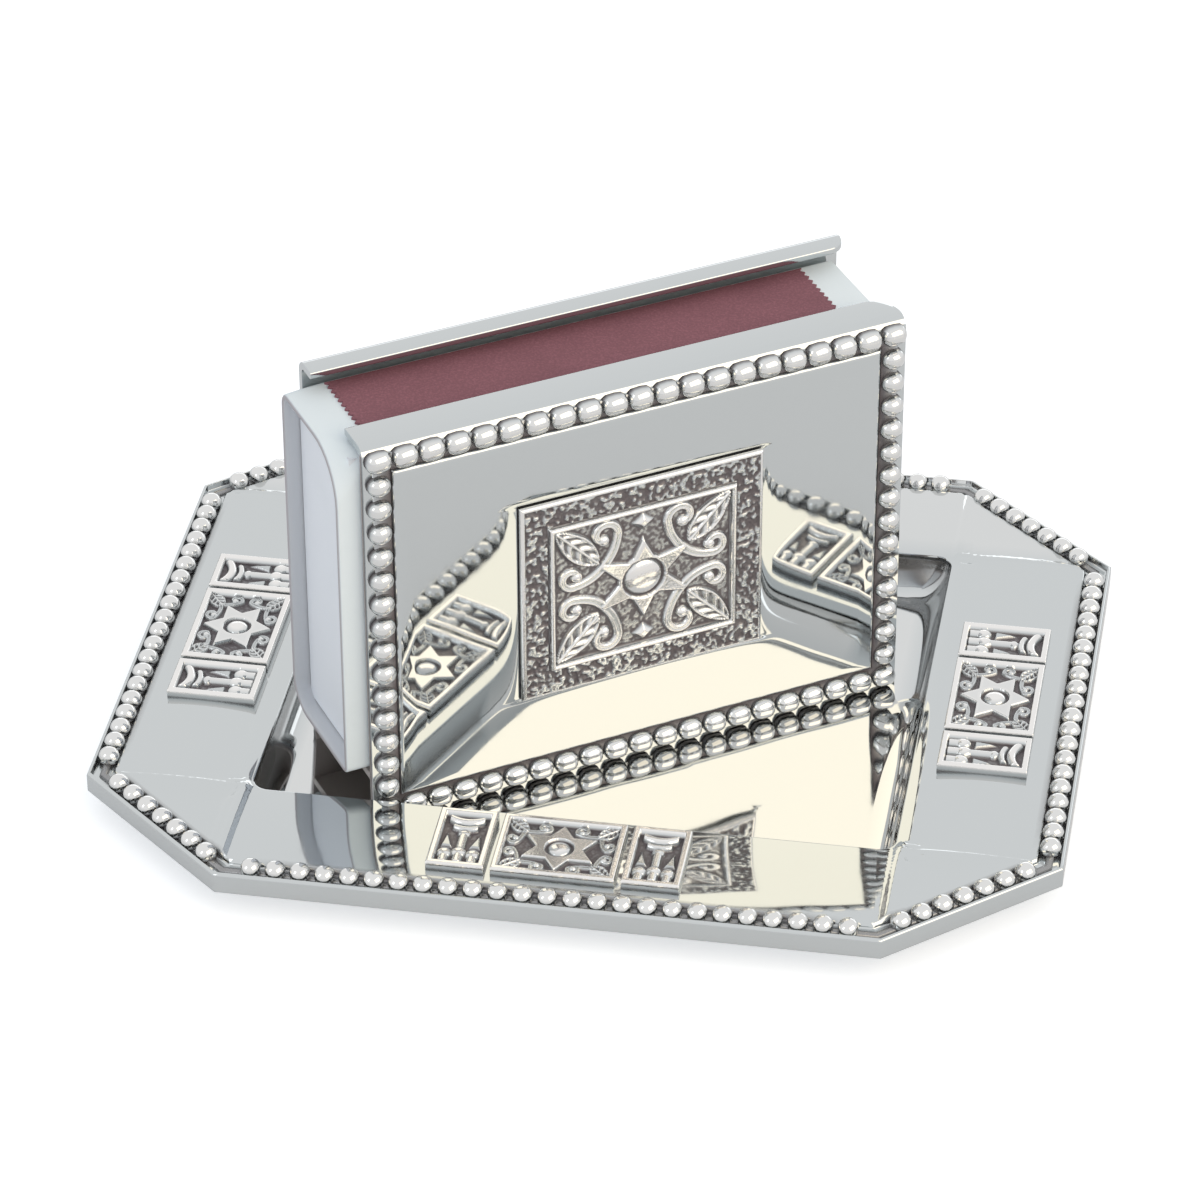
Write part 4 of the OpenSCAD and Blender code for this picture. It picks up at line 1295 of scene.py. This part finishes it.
class MATCH_OT_stage(PieceOperator, Operator):
    """Sets up the floor, the lights and the photograph's camera"""
    bl_idname = "match.stage"
    bl_label = "Stage"

    def execute(self, context):
        self.camera(context)
        self.floor()
        self.world(context)
        stage = context.scene.stage
        # the warm one is seen by way of the holder's face and the well's floor
        softbox("warm softbox", (0.691, -0.432, 0.57), 0.60, (0.62, 0.40), 1.62, stage.cream)
        softbox("cool softbox", (-0.60, -0.62, 0.52), 0.60, (0.16, 0.26), 1.3, (0.93, 0.97, 1))
        softbox("low back strip", (0.10, 0.97, 0.20), 0.90, (1.2, 0.16), 0.8, (0.95, 0.98, 1))
        return {"FINISHED"}

    def camera(self, context):
        """The camera's turns and reach were fitted to the counted bead rows."""
        stage = context.scene.stage
        sizes = context.scene.tray_sizes
        turn = (Matrix.Rotation(stage.tilt, 3, "X") @ Matrix.Rotation(stage.lean, 3, "Y")
                @ Matrix.Rotation(stage.swing, 3, "Z"))
        bead_z = sizes.sheet + sizes.well_depth - sizes.channel_depth + 0.68 * sizes.bead
        eye = -(turn.transposed() @ Vector(stage.reach)) + Vector((0, 0, bead_z))
        axes = Matrix((turn[0], -turn[1], -turn[2])).transposed()
        data = bpy.data.cameras.new("camera")
        data.lens = stage.lens
        data.sensor_width = 36.0
        data.clip_start = 0.01
        data.clip_end = 20.0
        camera = bpy.data.objects.new("camera", data)
        camera.matrix_world = Matrix.Translation(eye) @ axes.to_4x4()
        context.scene.collection.objects.link(camera)
        context.scene.camera = camera

    def floor(self):
        """A pale disc whose colour shows as white, and which keeps the object's shadow."""
        turn = np.linspace(0, 2 * pi, 64, endpoint=False)
        ring = np.column_stack([np.cos(turn), np.sin(turn), np.zeros(64)])
        rows = np.stack([ring * r for r in (0.3, 1.0, 3.0)])
        vertices, faces = surface(rows, wrap=True, flip=True, caps=(True, False))
        mesh = bpy.data.meshes.new("floor")
        mesh.from_pydata(vertices.tolist(), [], faces)
        floor = bpy.data.objects.new("floor", mesh)
        bpy.context.scene.collection.objects.link(floor)
        material, tree = new_material("floor")
        path = tree.node("ShaderNodeLightPath")
        outputs = path.socket.node.outputs
        direct = Value(tree, outputs["Is Camera Ray"])
        mirrored = (Value(tree, outputs["Is Glossy Ray"])
                    + Value(tree, outputs["Is Transmission Ray"])).clamp()
        matt = tree.node("ShaderNodeBsdfDiffuse", Color=(0.76, 0.77, 0.79))
        light = tree.mix(mirrored, (0.0, 0.0, 0.0), (0.16, 0.155, 0.155))
        light = tree.mix(direct, light, (0.55, 0.56, 0.57))
        glow = tree.node("ShaderNodeEmission", Color=light, Strength=1.0)
        both = tree.node("ShaderNodeAddShader", _0=matt, _1=glow)
        tree.node("ShaderNodeOutputMaterial", Surface=both)
        mesh.materials.append(material)

    def world(self, context):
        """Plain ambient light; white where the camera or a reflection looks at it."""
        world = bpy.data.worlds.new("world")
        context.scene.world = world
        world.use_nodes = True
        tree = Tree(world.node_tree)
        outputs = tree.node("ShaderNodeLightPath").socket.node.outputs
        seen = (Value(tree, outputs["Is Camera Ray"]) + Value(tree, outputs["Is Glossy Ray"])
                + Value(tree, outputs["Is Transmission Ray"])).clamp()
        colour = tree.mix(seen, context.scene.stage.world, (1.0, 1.0, 1.0))
        glow = tree.node("ShaderNodeBackground", Color=colour, Strength=1.0)
        tree.node("ShaderNodeOutputWorld", Surface=glow)


def softbox(name, direction, distance, extent, radiance, colour):
    """A rectangular lamp that faces the tray. Its power is radiance times pi times area."""
    data = bpy.data.lights.new(name, "AREA")
    data.shape = "RECTANGLE"
    data.size, data.size_y = extent
    data.energy = radiance * pi * extent[0] * extent[1]
    data.color = colour
    lamp = bpy.data.objects.new(name, data)
    away = Vector(direction).normalized()
    lamp.matrix_world = Matrix.Translation(away * distance) @ \
        away.to_track_quat("Z", "Y").to_matrix().to_4x4()
    bpy.context.scene.collection.objects.link(lamp)
    return lamp


OPERATORS = (MATCH_OT_stage, MATCH_OT_tray, MATCH_OT_tray_beads, MATCH_OT_rim_plaques,
             MATCH_OT_holder, MATCH_OT_holder_beads, MATCH_OT_face_plaques, MATCH_OT_matchbox)
GROUPS = {"tray_sizes": TraySizes, "holder_sizes": HolderSizes, "finish": Finish,
          "stage": Stage}


class MATCH_PT_panel(Panel):
    """Lists the sizes, the finishes and a button for each piece"""
    bl_label = "Matchbox holder"
    bl_idname = "MATCH_PT_panel"
    bl_space_type = "VIEW_3D"
    bl_region_type = "UI"
    bl_category = "Matchbox holder"

    def draw(self, context):
        for group in GROUPS:
            box = self.layout.box()
            box.label(text=group.replace("_", " "))
            for key in getattr(context.scene, group).__annotations__:
                box.prop(getattr(context.scene, group), key)
        for operator in OPERATORS:
            self.layout.operator(operator.bl_idname)


def register():
    for cls in (*GROUPS.values(), *OPERATORS, MATCH_PT_panel):
        bpy.utils.register_class(cls)
    for name, cls in GROUPS.items():
        setattr(bpy.types.Scene, name, PointerProperty(type=cls))


def unregister():
    for name in GROUPS:
        delattr(bpy.types.Scene, name)
    for cls in (MATCH_PT_panel, *OPERATORS[::-1], *list(GROUPS.values())[::-1]):
        bpy.utils.unregister_class(cls)


def main():
    register()
    bpy.context.scene.view_settings.view_transform = "Standard"
    for operator in OPERATORS:
        group, name = operator.bl_idname.split(".")
        getattr(getattr(bpy.ops, group), name)()


if __name__ == "__main__":
    main()
